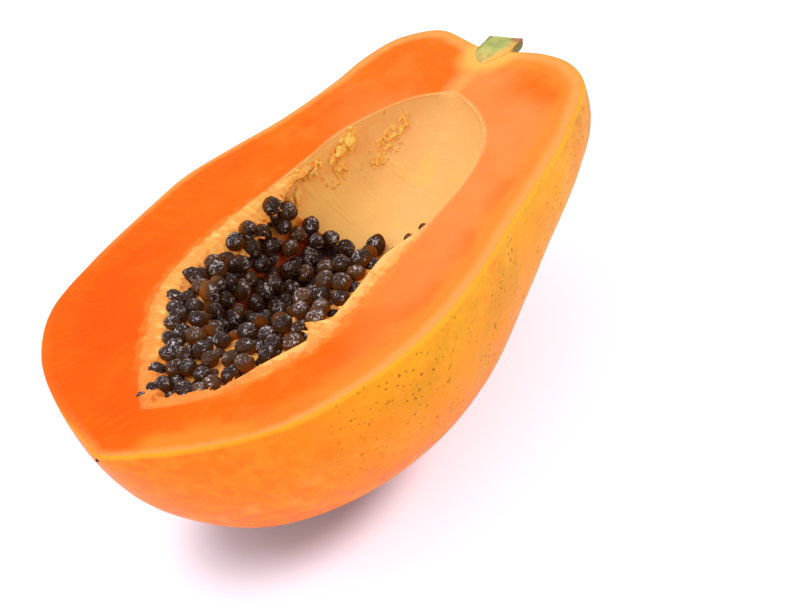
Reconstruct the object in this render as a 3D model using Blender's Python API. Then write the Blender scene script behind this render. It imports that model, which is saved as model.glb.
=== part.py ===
"""Half of a ripe papaya, cut lengthwise, lying on its rounded back with the cut face level.

The fruit is drawn with the blossom tip at x = 0 on the cut face, +X towards the stalk, +Y towards the
taller shoulder and +Z out of the cut face. An empty then carries every piece, so that the origin is
the middle of the small flat spot that the fruit rests on. Lengths are in metres.
"""

import math
import random

import bmesh
import bpy
import numpy as np
from mathutils import Matrix, Vector

# Driving dimensions
LENGTH = 0.230  # blossom tip to the taller shoulder beside the stalk
HALF_WIDTH = 0.0755  # core line to the skin at the widest place
DEPTH = 0.080  # cut face to the lowest line of the skin
REST_CUT = 0.0014  # what the flat spot takes off that lowest line
CORE_LEAN = 0.0024  # how far the core line drifts to -Y at the stalk end
HOLLOW_WIDTH = 0.0400  # core line to the lining at the widest place
HOLLOW_DEPTH = 0.0450  # cut face to the floor of the seed hollow
LEDGE_DROP = 0.0012  # the torn ledge beside the seeds lies this far below the cut face
LEDGE_WIDTHS = {"taller side": 0.0042, "lower side": 0.0072, "bare": 0.0009}
TORN_START = (0.12, 0.20)  # shares of LENGTH over which the ledge grows wide
TORN_END = (0.46, 0.56)  # and narrow again
RAGGEDNESS = 0.4  # how far the ledge's inner edge wanders, as a share of its width
LOBE_COUNT = 5  # soft ribs of the whole fruit
LOBE_HEIGHT = 0.006  # height of a rib, as a share of the width
SHOULDER_LOBE_HEIGHT = 0.014  # the same at the shoulders round the stalk
SHOULDER_SPAN = (0.62, 0.93)  # shares of LENGTH over which the ribs grow to that
GAP = 0.0003  # clearance between separate pieces
SLIVER = 0.000005  # corners nearer than this are merged after a cut or a join

# Outlines as shares of LENGTH along the fruit and of HALF_WIDTH or DEPTH away from the core line
TALLER_EDGE = (
    (0, 0), (0.003, 0.035), (0.012, 0.09), (0.066, 0.425), (0.137, 0.73), (0.23, 0.94), (0.34, 0.998),
    (0.49, 1.0), (0.56, 0.985), (0.64, 0.893), (0.726, 0.78), (0.83, 0.702), (0.905, 0.675),
    (0.966, 0.6), (0.998, 0.45), (1.0, 0.365), (0.987, 0.25), (0.969, 0.115), (0.957, 0),
)
LOWER_EDGE = (
    (0, 0), (0.003, 0.045), (0.01, 0.118), (0.06, 0.445), (0.13, 0.718), (0.232, 0.889), (0.348, 0.971),
    (0.468, 0.957), (0.577, 0.898), (0.656, 0.861), (0.759, 0.799), (0.843, 0.717), (0.901, 0.633),
    (0.945, 0.47), (0.962, 0.29), (0.961, 0.13), (0.957, 0),
)
KEEL = (
    (0, 0), (0.003, 0.04), (0.013, 0.13), (0.058, 0.45), (0.145, 0.744), (0.265, 0.915), (0.37, 0.984),
    (0.46, 1.0), (0.555, 0.955), (0.63, 0.855), (0.7, 0.755), (0.82, 0.656), (0.9, 0.6),
    (0.952, 0.49), (0.98, 0.335), (0.974, 0.16), (0.957, 0),
)
# The same for the seed hollow, as shares of LENGTH and of HOLLOW_WIDTH or HOLLOW_DEPTH
HOLLOW_TALLER_EDGE = (
    (0.098, 0), (0.128, 0.185), (0.172, 0.39), (0.237, 0.66), (0.287, 0.85), (0.348, 0.962), (0.41, 0.967),
    (0.517, 0.897), (0.641, 0.782), (0.71, 0.732), (0.77, 0.567), (0.82, 0.325), (0.846, 0),
)
HOLLOW_LOWER_EDGE = (
    (0.098, 0), (0.111, 0.172), (0.134, 0.388), (0.171, 0.602), (0.216, 0.782), (0.265, 0.95),
    (0.326, 1.0), (0.473, 0.982), (0.6, 0.965), (0.664, 0.922), (0.711, 0.845), (0.758, 0.702),
    (0.804, 0.44), (0.834, 0.165), (0.846, 0),
)
HOLLOW_FLOOR = (
    (0.098, 0), (0.115, 0.2), (0.157, 0.467), (0.226, 0.755), (0.326, 0.956), (0.413, 1.0), (0.522, 0.933),
    (0.63, 0.8), (0.717, 0.644), (0.791, 0.4), (0.83, 0.178), (0.846, 0),
)
HOLLOW_MIDDLE = 0.47  # share of LENGTH where the ledge narrows towards

# Stalk: share of LENGTH along its axis and radius, from its root in the flesh to its cut end
STALK_LINE_Y = -0.0027
STALK_PROFILE = (
    (0.9205, 0.0006), (0.932, 0.0036), (0.946, 0.0065), (0.961, 0.0074), (0.979, 0.0071), (0.997, 0.0073),
)

# Seed bed: a shell over the blossom half of the hollow, open towards the stalk
BED_INSET = 0.0008  # from the lining to the bed
BED_TOP = 0.0040  # from the cut face down to the bed's upper edge
BED_START = 0.0315  # x where the bed begins
# The bed ends at the nearer of two slanted planes: x in the middle of the cut face, and its slopes with y and z
BED_ENDS = ((0.1195, 0.25, -0.45), (0.1280, 0.80, -0.30))
BED_HOLLOW_MIDDLE = Vector((0.122, 0.003, -0.001))
BED_HOLLOW_SIZE = Vector((0.060, 0.026, 0.033))

# Seeds
SEED_SIZE = Vector((0.0036, 0.0032, 0.0031))  # half lengths of one seed in its coat
SEED_GROWTH = (0.86, 1.08)  # how the seeds differ in size
SEED_SPACING = 0.0056
SEED_RISE = (0.0003, 0.0018)  # how far a seed's middle stands above the bed
SEED_TRIES = 16000
SEED_DRAW = 23  # which of the random layouts
EDGE_SEEDS_END = 0.1165  # x up to which seeds are drawn on the bed's upper edge
# Share of the way along the hollow's wall, angle down from the taller edge, and size as a share
LOOSE_SEEDS = {
    "seed_loose_1": (0.696, 72.0, 1.2),
    "seed_loose_2": (0.692, 87.0, 0.75),
    "seed_loose_3": (0.556, 176.0, 0.62),
    "seed_loose_4": (0.582, 177.0, 0.52),
}
LOOSE_CLEARANCE = 0.0009  # clear of the lining, whose flat faces stand in from the true curve

# Rows of fibre on the lining: count, first and last share along the wall, angle down from the taller edge
TUFT_ROWS = ((8, 0.62, 0.80, 9.0), (9, 0.73, 0.89, 19.0), (6, 0.77, 0.88, 29.0))
TUFT_LENGTHS = (0.0022, 0.0034)
TUFT_WIDTHS = (0.0009, 0.0013)
TUFT_HEIGHT = 0.0010
# Rows of torn teeth along the ledge, with the share of the ledge's width that a tooth takes
TOOTH_ROWS = ((17, 0.2, 0.53, 0.0), (15, 0.13, 0.49, 180.0))
TOOTH_LENGTHS = (0.5, 0.68)
TOOTH_WIDTHS = (0.0010, 0.0015)

COLUMNS = 80  # corners round the rim
SKIN_RINGS = 13  # rings of faces from the rim to the keel
HOLLOW_RINGS = 10
BED_COLUMNS = 40
BED_RINGS = 8
BED_HOLLOW_FACES = (28, 14)
STALK_SIDES = 20
GRAIN_FACES = (6, 4)  # segments and rings of a seed in the bed
LOOSE_SEED_FACES = (10, 8)
CURVE_STEPS = 24  # steps between two points of an outline


def smooth_curve(points, length, width):
    """A function that gives the place at a share, 0 to 1, of a smooth curve's length through the points."""
    knots = np.array(points) * (length, width)
    chords = np.sqrt(np.linalg.norm(np.diff(knots, axis=0), axis=1))
    times = np.concatenate([[0], np.cumsum(chords)])
    slopes = np.gradient(knots, times, axis=0)
    dense = []
    for i in range(len(knots) - 1):
        span = times[i + 1] - times[i]
        for t in np.linspace(0, 1, CURVE_STEPS, endpoint=False):
            dense.append(
                (2 * t**3 - 3 * t**2 + 1) * knots[i]
                + (t**3 - 2 * t**2 + t) * span * slopes[i]
                + (3 * t**2 - 2 * t**3) * knots[i + 1]
                + (t**3 - t**2) * span * slopes[i + 1]
            )
    dense = np.array(dense + [knots[-1]])
    run = np.concatenate([[0], np.cumsum(np.linalg.norm(np.diff(dense, axis=0), axis=1))])

    def place(share):
        along = share * run[-1]
        return float(np.interp(along, run, dense[:, 0])), float(np.interp(along, run, dense[:, 1]))

    return place


def ramp(value, low, high):
    """0 below low, 1 above high, and a smooth step between them."""
    t = max(0.0, min(1.0, (value - low) / (high - low)))
    return t * t * (3 - 2 * t)


def core_y(x):
    """Sideways place of the core line, which drifts a little towards the lower side."""
    return -CORE_LEAN * (x / LENGTH) ** 2


def lobed(turn, x):
    """Swelling of the five ribs at an angle down from the taller edge. It is nothing at both edges."""
    grown = ramp(x / LENGTH, *SHOULDER_SPAN)
    height = LOBE_HEIGHT + (SHOULDER_LOBE_HEIGHT - LOBE_HEIGHT) * grown
    return 1 + height * math.cos(LOBE_COUNT * turn - math.pi / 2)


def half_form(direction, curves, lobes=True):
    """Point of a half form, whose taller edge, lower edge and keel are the curves, in a direction."""
    share = math.acos(max(-1.0, min(1.0, -direction.x))) / math.pi
    turn = math.atan2(max(0.0, -direction.z), direction.y)
    taller, lower, keel = (curve(share) for curve in curves)
    edge = taller if direction.y >= 0 else lower
    down = math.sin(turn) ** 2
    x = edge[0] * (1 - down) + keel[0] * down
    swell = lobed(turn, x) if lobes else 1.0
    return Vector((x, core_y(x) + edge[1] * math.cos(turn) * swell, -keel[1] * math.sin(turn) * swell))


SKIN = (
    smooth_curve(TALLER_EDGE, LENGTH, HALF_WIDTH),
    smooth_curve(LOWER_EDGE, LENGTH, HALF_WIDTH),
    smooth_curve(KEEL, LENGTH, DEPTH),
)
HOLLOW = (
    smooth_curve(HOLLOW_TALLER_EDGE, LENGTH, HOLLOW_WIDTH),
    smooth_curve(HOLLOW_LOWER_EDGE, LENGTH, HOLLOW_WIDTH),
    smooth_curve(HOLLOW_FLOOR, LENGTH, HOLLOW_DEPTH),
)


def wall_direction(share, degrees):
    """Direction to the place at a share along the wall and an angle down from the taller edge."""
    turn = math.radians(degrees)
    across = math.sin(math.pi * share)
    return Vector((-math.cos(math.pi * share), across * math.cos(turn), -across * math.sin(turn)))


def ledge_width(point):
    """Width of the torn ledge between flesh and seeds beside a point of the hollow's edge."""
    side = "taller side" if point.y > core_y(point.x) else "lower side"
    torn = ramp(point.x / LENGTH, *TORN_START) * (1 - ramp(point.x / LENGTH, *TORN_END))
    return LEDGE_WIDTHS["bare"] + torn * (LEDGE_WIDTHS[side] - LEDGE_WIDTHS["bare"])


def drawn_in(point, width):
    """The point moved level towards the middle of the hollow by a width."""
    inward = Vector((HOLLOW_MIDDLE * LENGTH - point.x, core_y(point.x) - point.y, 0))
    if inward.length < width:
        return point
    return point + inward.normalized() * width


def hollow_wall(direction, inset=0.0, roughness=0.0):
    """Point of the hollow's wall below the ledge, moved inwards by an inset."""
    point = half_form(direction, HOLLOW, lobes=False)
    level = math.sqrt(max(0.0, 1 - direction.z**2))
    point = drawn_in(point, level * (ledge_width(point) * (1 + roughness) + inset))
    point.z = min(point.z, -LEDGE_DROP) + inset * (1 - level)
    return point


def material(name, red, green, blue, roughness):
    """A plain finish in display colours from 0 to 255."""
    made = bpy.data.materials.new(name)
    made.use_nodes = True
    shader = made.node_tree.nodes["Principled BSDF"]
    linear = [((c / 255 + 0.055) / 1.055) ** 2.4 for c in (red, green, blue)]
    shader.inputs["Base Color"].default_value = (*linear, 1)
    shader.inputs["Roughness"].default_value = roughness
    shader.inputs["Metallic"].default_value = 0.0
    made.diffuse_color = (*linear, 1)
    return made


def in_fixed_order(mesh):
    """The mesh with its corners and faces sorted by place, since some operations leave them in no fixed order."""
    places = [tuple(v.co) for v in mesh.vertices]
    order = sorted(range(len(places)), key=places.__getitem__)
    rank = {old: new for new, old in enumerate(order)}
    faces = []
    for face in mesh.polygons:
        loop = [rank[i] for i in face.vertices]
        first = loop.index(min(loop))
        faces.append((loop[first:] + loop[:first], face.material_index))
    faces.sort()
    name = mesh.name
    finishes = list(mesh.materials)
    bpy.data.meshes.remove(mesh)
    made = bpy.data.meshes.new(name)
    made.from_pydata([places[i] for i in order], [], [loop for loop, _ in faces])
    for finish in finishes:
        made.materials.append(finish)
    made.polygons.foreach_set("material_index", [finish_index for _, finish_index in faces])
    made.shade_smooth()
    return made


def new_object(name, bm, *materials, collection=None):
    """A mesh object with these materials, in the scene or in a collection of its own."""
    mesh = bpy.data.meshes.new(name)
    bm.to_mesh(mesh)
    bm.free()
    for finish in materials:
        mesh.materials.append(finish)
    made = bpy.data.objects.new(name, in_fixed_order(mesh))
    (collection or bpy.context.scene.collection).objects.link(made)
    return made


def half_ball(bm, columns, rings, shape):
    """Adds the lower half of a ball, moved onto a shape, and returns its faces and its rim's corners."""
    ball = bmesh.ops.create_uvsphere(bm, u_segments=columns, v_segments=2 * rings, radius=1)["verts"]
    upper = [v for v in ball if v.co.z > 1e-4]
    kept = [v for v in ball if v.co.z <= 1e-4]
    bmesh.ops.delete(bm, geom=upper, context="VERTS")
    rim = [v for v in kept if abs(v.co.z) <= 1e-4]
    rim.sort(key=lambda v: math.atan2(v.co.y, v.co.x) % (2 * math.pi - 1e-4))
    faces = list({f for v in kept for f in v.link_faces})
    for v in kept:
        direction = v.co.normalized()
        if v in rim:
            direction.z = 0
        v.co = shape(direction.normalized())
    return faces, rim


def bridge(bm, outer, inner, finish_index):
    """Quads between two closed rings of corners."""
    for i in range(len(outer)):
        j = (i + 1) % len(outer)
        bm.faces.new((outer[i], outer[j], inner[j], inner[i])).material_index = finish_index


def cut_flat(bm, place, normal):
    """Cuts off what lies on the normal's side of a plane and closes the cut with a flat face."""
    everything = bm.verts[:] + bm.edges[:] + bm.faces[:]
    cut = bmesh.ops.bisect_plane(bm, geom=everything, plane_co=place, plane_no=normal, clear_outer=True)
    edges = [e for e in cut["geom_cut"] if isinstance(e, bmesh.types.BMEdge)]
    bmesh.ops.contextual_create(bm, geom=edges)


def combine(target, operation, operand):
    """Joins or cuts with one object or a collection, and leaves a plain mesh on the target."""
    boolean = target.modifiers.new(operation.lower(), "BOOLEAN")
    boolean.operation = operation
    boolean.solver = "EXACT"
    boolean.material_mode = "TRANSFER"
    if isinstance(operand, bpy.types.Collection):
        boolean.operand_type = "COLLECTION"
        boolean.collection = operand
        used = list(operand.objects)
    else:
        boolean.object = operand
        used = [operand]
    bpy.context.view_layer.update()
    evaluated = target.evaluated_get(bpy.context.evaluated_depsgraph_get())
    old = target.data
    target.data = in_fixed_order(bpy.data.meshes.new_from_object(evaluated))
    target.modifiers.clear()
    bpy.data.meshes.remove(old)
    bm = bmesh.new()
    bm.from_mesh(target.data)
    bmesh.ops.remove_doubles(bm, verts=bm.verts, dist=SLIVER)
    bmesh.ops.dissolve_degenerate(bm, edges=bm.edges, dist=SLIVER)
    bm.to_mesh(target.data)
    bm.free()
    for piece in used:
        bpy.data.objects.remove(piece)


def fruit(skin, flesh, lining):
    """The half itself: skin, level cut face, torn ledge and hollow in one closed solid."""
    chance = random.Random(5)
    bm = bmesh.new()
    skin_faces, skin_rim = half_ball(bm, COLUMNS, SKIN_RINGS, lambda d: half_form(d, SKIN))
    lining_faces, ledge_rim = half_ball(bm, COLUMNS, HOLLOW_RINGS, hollow_wall)
    for face in lining_faces:
        face.material_index = 2
    flesh_rim = []
    for ledge_corner in ledge_rim:
        angle = 2 * math.pi * len(flesh_rim) / COLUMNS
        direction = Vector((math.cos(angle), math.sin(angle), 0))
        flesh_rim.append(bm.verts.new(half_form(direction, HOLLOW, lobes=False)))
        ledge_corner.co = hollow_wall(direction, roughness=-chance.uniform(0, RAGGEDNESS))
    bridge(bm, skin_rim, flesh_rim, 1)
    bridge(bm, flesh_rim, ledge_rim, 2)
    bmesh.ops.recalc_face_normals(bm, faces=bm.faces)
    cut_flat(bm, (0, 0, REST_CUT - DEPTH), (0, 0, -1))
    return new_object("papaya_half", bm, skin, flesh, lining)


def tuft(place, along, out, size, finish, collection):
    """A small raised wedge of fibre at a place, lying along a direction."""
    bm = bmesh.new()
    across = out.cross(along).normalized()
    along = across.cross(out).normalized()
    turn = Matrix((along, across, out)).transposed().to_4x4()
    shape = Matrix.Translation(place) @ turn @ Matrix.Diagonal((*size, 1))
    bmesh.ops.create_uvsphere(bm, u_segments=5, v_segments=3, radius=1, matrix=shape)
    new_object("tuft", bm, finish, collection=collection)


def wall_normal(direction):
    """Which way the hollow's wall faces, towards the open middle."""
    point = hollow_wall(direction)
    return Vector((HOLLOW_MIDDLE * LENGTH - point.x, core_y(point.x) - point.y, -point.z)).normalized()


def add_fibres(half, lining):
    """Raised tufts on the bare lining and the teeth of torn tissue along the ledge, fused to the half."""
    chance = random.Random(11)
    fibres = bpy.data.collections.new("fibres")
    bpy.context.scene.collection.children.link(fibres)
    for count, first, last, degrees in TUFT_ROWS:
        for i in range(count):
            share = first + (last - first) * (i + chance.uniform(-0.3, 0.3)) / (count - 1)
            direction = wall_direction(share, degrees + chance.uniform(-3.5, 3.5))
            place = hollow_wall(direction)
            below = hollow_wall(wall_direction(share + chance.uniform(-0.01, 0.02), degrees + 12))
            size = (chance.uniform(*TUFT_LENGTHS), chance.uniform(*TUFT_WIDTHS), TUFT_HEIGHT)
            tuft(place, below - place, wall_normal(direction), size, lining, fibres)
    for count, first, last, degrees in TOOTH_ROWS:
        for i in range(count):
            share = first + (last - first) * (i + chance.uniform(-0.2, 0.2)) / (count - 1)
            edge = half_form(wall_direction(share, degrees), HOLLOW, lobes=False)
            width = ledge_width(edge)
            inward = drawn_in(edge, width) - edge
            place = edge + inward * 0.5 - Vector((0, 0, LEDGE_DROP))
            size = (width * chance.uniform(*TOOTH_LENGTHS), chance.uniform(*TOOTH_WIDTHS), TUFT_HEIGHT)
            tuft(place, inward, Vector((0, 0, 1)), size, lining, fibres)
    combine(half, "UNION", fibres)
    bpy.data.collections.remove(fibres)


def turned(bm, profile, growth, far_end):
    """A body turned round the stalk's line from a profile, its radii larger by a growth."""
    places = [(share * LENGTH, radius + growth) for share, radius in profile]
    places[0] = (places[0][0] - growth, places[0][1])
    places[-1] = (far_end, places[-1][1])
    middle = Vector((0, STALK_LINE_Y, 0))
    start = math.pi / STALK_SIDES
    corners = []
    for x, radius in places:
        corners.append(bm.verts.new((x, STALK_LINE_Y + radius * math.cos(start), radius * math.sin(start))))
    edges = [bm.edges.new(pair) for pair in zip(corners, corners[1:])]
    bmesh.ops.spin(
        bm, geom=corners + edges, cent=middle, axis=(1, 0, 0), angle=2 * math.pi, steps=STALK_SIDES,
        use_merge=True,
    )
    bmesh.ops.remove_doubles(bm, verts=bm.verts, dist=1e-6)
    bmesh.ops.holes_fill(bm, edges=[e for e in bm.edges if e.is_boundary], sides=STALK_SIDES)
    bmesh.ops.recalc_face_normals(bm, faces=bm.faces)


def stalk(half, finish):
    """The short stub in the notch between the shoulders, halved by the same cut, with its socket."""
    socket = bmesh.new()
    turned(socket, STALK_PROFILE, GAP, 1.1 * LENGTH)
    combine(half, "DIFFERENCE", new_object("stalk_socket", socket, half.data.materials[0]))
    bm = bmesh.new()
    turned(bm, STALK_PROFILE, 0.0, STALK_PROFILE[-1][0] * LENGTH)
    cut_flat(bm, (0, 0, 0), (0, 0, 1))
    return new_object("stalk", bm, finish)


def bed(finish):
    """The thin bed that the seeds stand out of: a shell inside the blossom half of the hollow."""
    bm = bmesh.new()
    rim = half_ball(bm, BED_COLUMNS, BED_RINGS, lambda d: hollow_wall(d, inset=BED_INSET))[1]
    bmesh.ops.contextual_create(bm, geom=rim)
    bmesh.ops.recalc_face_normals(bm, faces=bm.faces)
    cut_flat(bm, (0, 0, -BED_TOP), (0, 0, 1))
    for x, slope_y, slope_z in BED_ENDS:
        cut_flat(bm, (x, 0, 0), (1, -slope_y, -slope_z))
    cut_flat(bm, (BED_START, 0, 0), (-1, 0, 0))
    made = new_object("seeds", bm, finish)
    cutter = bmesh.new()
    shape = Matrix.Translation(BED_HOLLOW_MIDDLE) @ Matrix.Diagonal((*BED_HOLLOW_SIZE, 1))
    columns, rings = BED_HOLLOW_FACES
    bmesh.ops.create_uvsphere(cutter, u_segments=columns, v_segments=rings, radius=1, matrix=shape)
    combine(made, "DIFFERENCE", new_object("bed_hollow", cutter, finish))
    return made


HOLLOW_WIDTHS = [np.array([curve(share) for share in np.linspace(0, 1, 101)]) for curve in HOLLOW]


def width_at(curve, x):
    """Width of the taller edge, the lower edge or the floor of the hollow, 0 to 2, at a place along it."""
    return float(np.interp(x, HOLLOW_WIDTHS[curve][:, 0], HOLLOW_WIDTHS[curve][:, 1]))


def fits(place, margin):
    """Whether a place in the hollow is a margin clear of its wall, measured in the section nearer the end."""
    x = place.x - math.copysign(margin, HOLLOW_MIDDLE * LENGTH - place.x)
    across = place.y - core_y(place.x)
    width = width_at(0 if across > 0 else 1, x)
    width -= ledge_width(Vector((x, place.y, 0))) + margin
    depth = width_at(2, x) - margin
    return width > 0 and depth > 0 and math.hypot(across / width, place.z / depth) < 1


def bed_end(place):
    """How far along the seed bed reaches beside a place."""
    return min(x + slope_y * place.y + slope_z * place.z for x, slope_y, slope_z in BED_ENDS)


def seed_spots():
    """Places of the seeds and which way each stands out of the bed, by a seeded draw with a least spacing."""
    chance = random.Random(SEED_DRAW)
    spots = []
    for attempt in range(SEED_TRIES):
        rise = chance.uniform(*SEED_RISE)
        size = BED_HOLLOW_SIZE - Vector((rise,) * 3)
        if attempt % 3:
            turn = chance.uniform(0, 2 * math.pi)
            height = -chance.random()
            level = math.sqrt(1 - height * height)
            out = Vector((level * math.cos(turn), level * math.sin(turn), height))
            place = BED_HOLLOW_MIDDLE + Vector(a * b for a, b in zip(out, size))
            out = -Vector(a / b for a, b in zip(out, size)).normalized()
        else:
            x = chance.uniform(BED_START, EDGE_SEEDS_END)
            place = Vector((x, chance.uniform(-HOLLOW_WIDTH, HOLLOW_WIDTH), rise - BED_TOP))
            out = Vector((0, 0, 1))
            off = place - BED_HOLLOW_MIDDLE
            if math.hypot(off.x / size.x, off.y / size.y) < 1:
                continue
        if place.z > SEED_RISE[1] - BED_TOP or not BED_START < place.x < bed_end(place):
            continue
        if not fits(place, SEED_SIZE.x + GAP):
            continue
        if all((place - other).length > SEED_SPACING for other, _ in spots):
            spots.append((place, out))
    return spots


def seed_turn(chance, out):
    """A seed lies with its long side along the bed, turned at random."""
    across = out.orthogonal().normalized()
    along = Matrix.Rotation(chance.uniform(0, 2 * math.pi), 3, out) @ across
    along = (along + out * chance.uniform(-0.5, 0.5)).normalized()
    side = out.cross(along).normalized()
    return Matrix((along, side, along.cross(side))).transposed().to_4x4()


def seed_body(bm, place, turn, growth, faces):
    """One plain seed: an egg with few faces."""
    segments, rings = faces
    shape = Matrix.Translation(place) @ turn @ Matrix.Diagonal((*(SEED_SIZE * growth), 1))
    bmesh.ops.create_uvsphere(bm, u_segments=segments, v_segments=rings, radius=1, matrix=shape)


def seeds(finish):
    """Every seed of the dense lining, fused with its bed."""
    made = bed(finish)
    grains = bpy.data.collections.new("grains")
    bpy.context.scene.collection.children.link(grains)
    chance = random.Random(31)
    for place, out in seed_spots():
        bm = bmesh.new()
        seed_body(bm, place, seed_turn(chance, out), chance.uniform(*SEED_GROWTH), GRAIN_FACES)
        new_object("grain", bm, finish, collection=grains)
    combine(made, "UNION", grains)
    bpy.data.collections.remove(grains)
    return made


def loose_seeds(finish):
    """Single seeds that lie on the lining away from the others."""
    chance = random.Random(41)
    made = []
    for name, (share, degrees, growth) in LOOSE_SEEDS.items():
        direction = wall_direction(share, degrees)
        out = wall_normal(direction)
        place = hollow_wall(direction) + out * (SEED_SIZE.y * growth + LOOSE_CLEARANCE)
        bm = bmesh.new()
        seed_body(bm, place, seed_turn(chance, out), growth, LOOSE_SEED_FACES)
        made.append(new_object(name, bm, finish))
    return made


def main():
    for old in list(bpy.data.objects):
        bpy.data.objects.remove(old)
    skin = material("skin", 245, 163, 42, 0.4)
    flesh = material("flesh", 254, 112, 30, 0.4)
    lining = material("lining", 254, 184, 107, 0.5)
    seed = material("seed", 66, 42, 36, 0.25)
    green = material("stalk_green", 196, 196, 112, 0.6)

    half = fruit(skin, flesh, lining)
    add_fibres(half, lining)
    pieces = [half, stalk(half, green), seeds(seed), *loose_seeds(seed)]

    ground = bpy.data.objects.new("papaya", None)
    bpy.context.scene.collection.objects.link(ground)
    low = [v.co.x for v in half.data.vertices if v.co.z < REST_CUT - DEPTH + SLIVER]
    middle = (min(low) + max(low)) / 2
    ground.location = (-middle, 0, DEPTH - REST_CUT)
    for piece in pieces:
        piece.parent = ground


main()
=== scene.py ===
"""Half of a ripe papaya, cut lengthwise: its looks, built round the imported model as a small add-on.

The fruit is drawn with the blossom tip at x = 0 on the cut face, +X towards the stalk, +Y towards the
taller shoulder and +Z out of the cut face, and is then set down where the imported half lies. Lengths
are in metres.
"""

import math
import random

import bpy
import numpy as np
from mathutils import Matrix, Quaternion, Vector, noise
from mathutils.kdtree import KDTree


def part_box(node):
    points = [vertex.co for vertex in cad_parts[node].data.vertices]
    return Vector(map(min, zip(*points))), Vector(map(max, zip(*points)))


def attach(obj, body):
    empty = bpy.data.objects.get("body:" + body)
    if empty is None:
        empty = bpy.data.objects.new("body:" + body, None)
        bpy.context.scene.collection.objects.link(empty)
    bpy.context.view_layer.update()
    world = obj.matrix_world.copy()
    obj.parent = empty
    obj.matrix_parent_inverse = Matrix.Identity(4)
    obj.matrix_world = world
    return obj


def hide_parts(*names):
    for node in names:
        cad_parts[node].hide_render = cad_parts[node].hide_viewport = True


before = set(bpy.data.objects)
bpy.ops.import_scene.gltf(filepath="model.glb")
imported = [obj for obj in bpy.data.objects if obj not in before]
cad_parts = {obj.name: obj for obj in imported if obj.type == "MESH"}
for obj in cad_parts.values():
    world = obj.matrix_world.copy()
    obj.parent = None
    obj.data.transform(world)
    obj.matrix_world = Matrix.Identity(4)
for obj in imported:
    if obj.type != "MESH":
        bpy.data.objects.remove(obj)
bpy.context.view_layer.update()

bl_info = {
    "name": "Papaya Half",
    "version": (1, 0, 0),
    "blender": (4, 5, 0),
    "location": "View3D > Sidebar > Papaya",
    "description": "Builds the skin, flesh, seeds and stalk of a papaya half round its packed model",
    "category": "Object",
}

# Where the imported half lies
HALF_LOW, HALF_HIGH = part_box("papaya_half")
TIP = Vector((HALF_LOW.x, 0, HALF_HIGH.z))  # the blossom tip, on the level of the cut face
GROUND = HALF_LOW.z - HALF_HIGH.z  # height of the ground, measured from the cut face

# Driving dimensions of the fruit
LENGTH = 0.230  # blossom tip to the taller shoulder beside the stalk
HALF_WIDTH = 0.0755  # core line to the skin at the widest place
DEPTH = 0.080  # cut face to the lowest line of the skin
CORE_LEAN = 0.0024  # how far the core line drifts to -Y at the stalk end
HOLLOW_WIDTH = 0.0400  # core line to the lining at the widest place
HOLLOW_DEPTH = 0.0450  # cut face to the floor of the seed hollow
HOLLOW_MIDDLE = 0.47  # share of LENGTH where the ledge narrows towards
LEDGE_DROP = 0.0012  # the torn ledge beside the seeds lies this far below the cut face
BARE_DROP = 0.0004  # the same where nothing is torn
LEDGE_WIDTHS = {"taller side": 0.0042, "lower side": 0.0072, "bare": 0.0009}
TORN_START = (0.12, 0.20)  # shares of LENGTH over which the ledge grows wide
TORN_END = (0.46, 0.56)  # and narrow again
LOBE_COUNT = 5  # soft ribs of the whole fruit
LOBE_HEIGHT = 0.006  # height of a rib, as a share of the width
SHOULDER_LOBE_HEIGHT = 0.014  # the same at the shoulders round the stalk
SHOULDER_SPAN = (0.62, 0.93)  # shares of LENGTH over which the ribs grow to that

# Outlines as shares of LENGTH along the fruit and of HALF_WIDTH or DEPTH away from the core line
TALLER_EDGE = (
    (0, 0), (0.003, 0.035), (0.012, 0.09), (0.066, 0.425), (0.137, 0.73), (0.23, 0.94), (0.34, 0.998),
    (0.49, 1.0), (0.56, 0.985), (0.64, 0.893), (0.726, 0.78), (0.83, 0.702), (0.905, 0.675),
    (0.966, 0.6), (0.998, 0.45), (1.0, 0.365), (0.987, 0.25), (0.969, 0.115), (0.957, 0),
)
LOWER_EDGE = (
    (0, 0), (0.003, 0.045), (0.01, 0.118), (0.06, 0.445), (0.13, 0.718), (0.232, 0.889), (0.348, 0.971),
    (0.468, 0.957), (0.577, 0.898), (0.656, 0.861), (0.759, 0.799), (0.843, 0.717), (0.901, 0.633),
    (0.945, 0.47), (0.962, 0.29), (0.961, 0.13), (0.957, 0),
)
KEEL = (
    (0, 0), (0.003, 0.04), (0.013, 0.13), (0.058, 0.45), (0.145, 0.744), (0.265, 0.915), (0.37, 0.984),
    (0.46, 1.0), (0.555, 0.955), (0.63, 0.855), (0.7, 0.755), (0.82, 0.656), (0.9, 0.6),
    (0.952, 0.49), (0.98, 0.335), (0.974, 0.16), (0.957, 0),
)
# The same for the seed hollow, as shares of LENGTH and of HOLLOW_WIDTH or HOLLOW_DEPTH
HOLLOW_TALLER_EDGE = (
    (0.098, 0), (0.128, 0.185), (0.172, 0.39), (0.237, 0.66), (0.287, 0.85), (0.348, 0.962),
    (0.41, 0.967), (0.517, 0.897), (0.641, 0.782), (0.71, 0.732), (0.77, 0.567), (0.82, 0.325),
    (0.846, 0),
)
HOLLOW_LOWER_EDGE = (
    (0.098, 0), (0.111, 0.172), (0.134, 0.388), (0.171, 0.602), (0.216, 0.782), (0.265, 0.95),
    (0.326, 1.0), (0.473, 0.982), (0.6, 0.965), (0.664, 0.922), (0.711, 0.845), (0.758, 0.702),
    (0.804, 0.44), (0.834, 0.165), (0.846, 0),
)
HOLLOW_FLOOR = (
    (0.098, 0), (0.115, 0.2), (0.157, 0.467), (0.226, 0.755), (0.326, 0.956), (0.413, 1.0),
    (0.522, 0.933), (0.63, 0.8), (0.717, 0.644), (0.791, 0.4), (0.83, 0.178), (0.846, 0),
)
CURVE_STEPS = 24  # steps between two points of an outline
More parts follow.
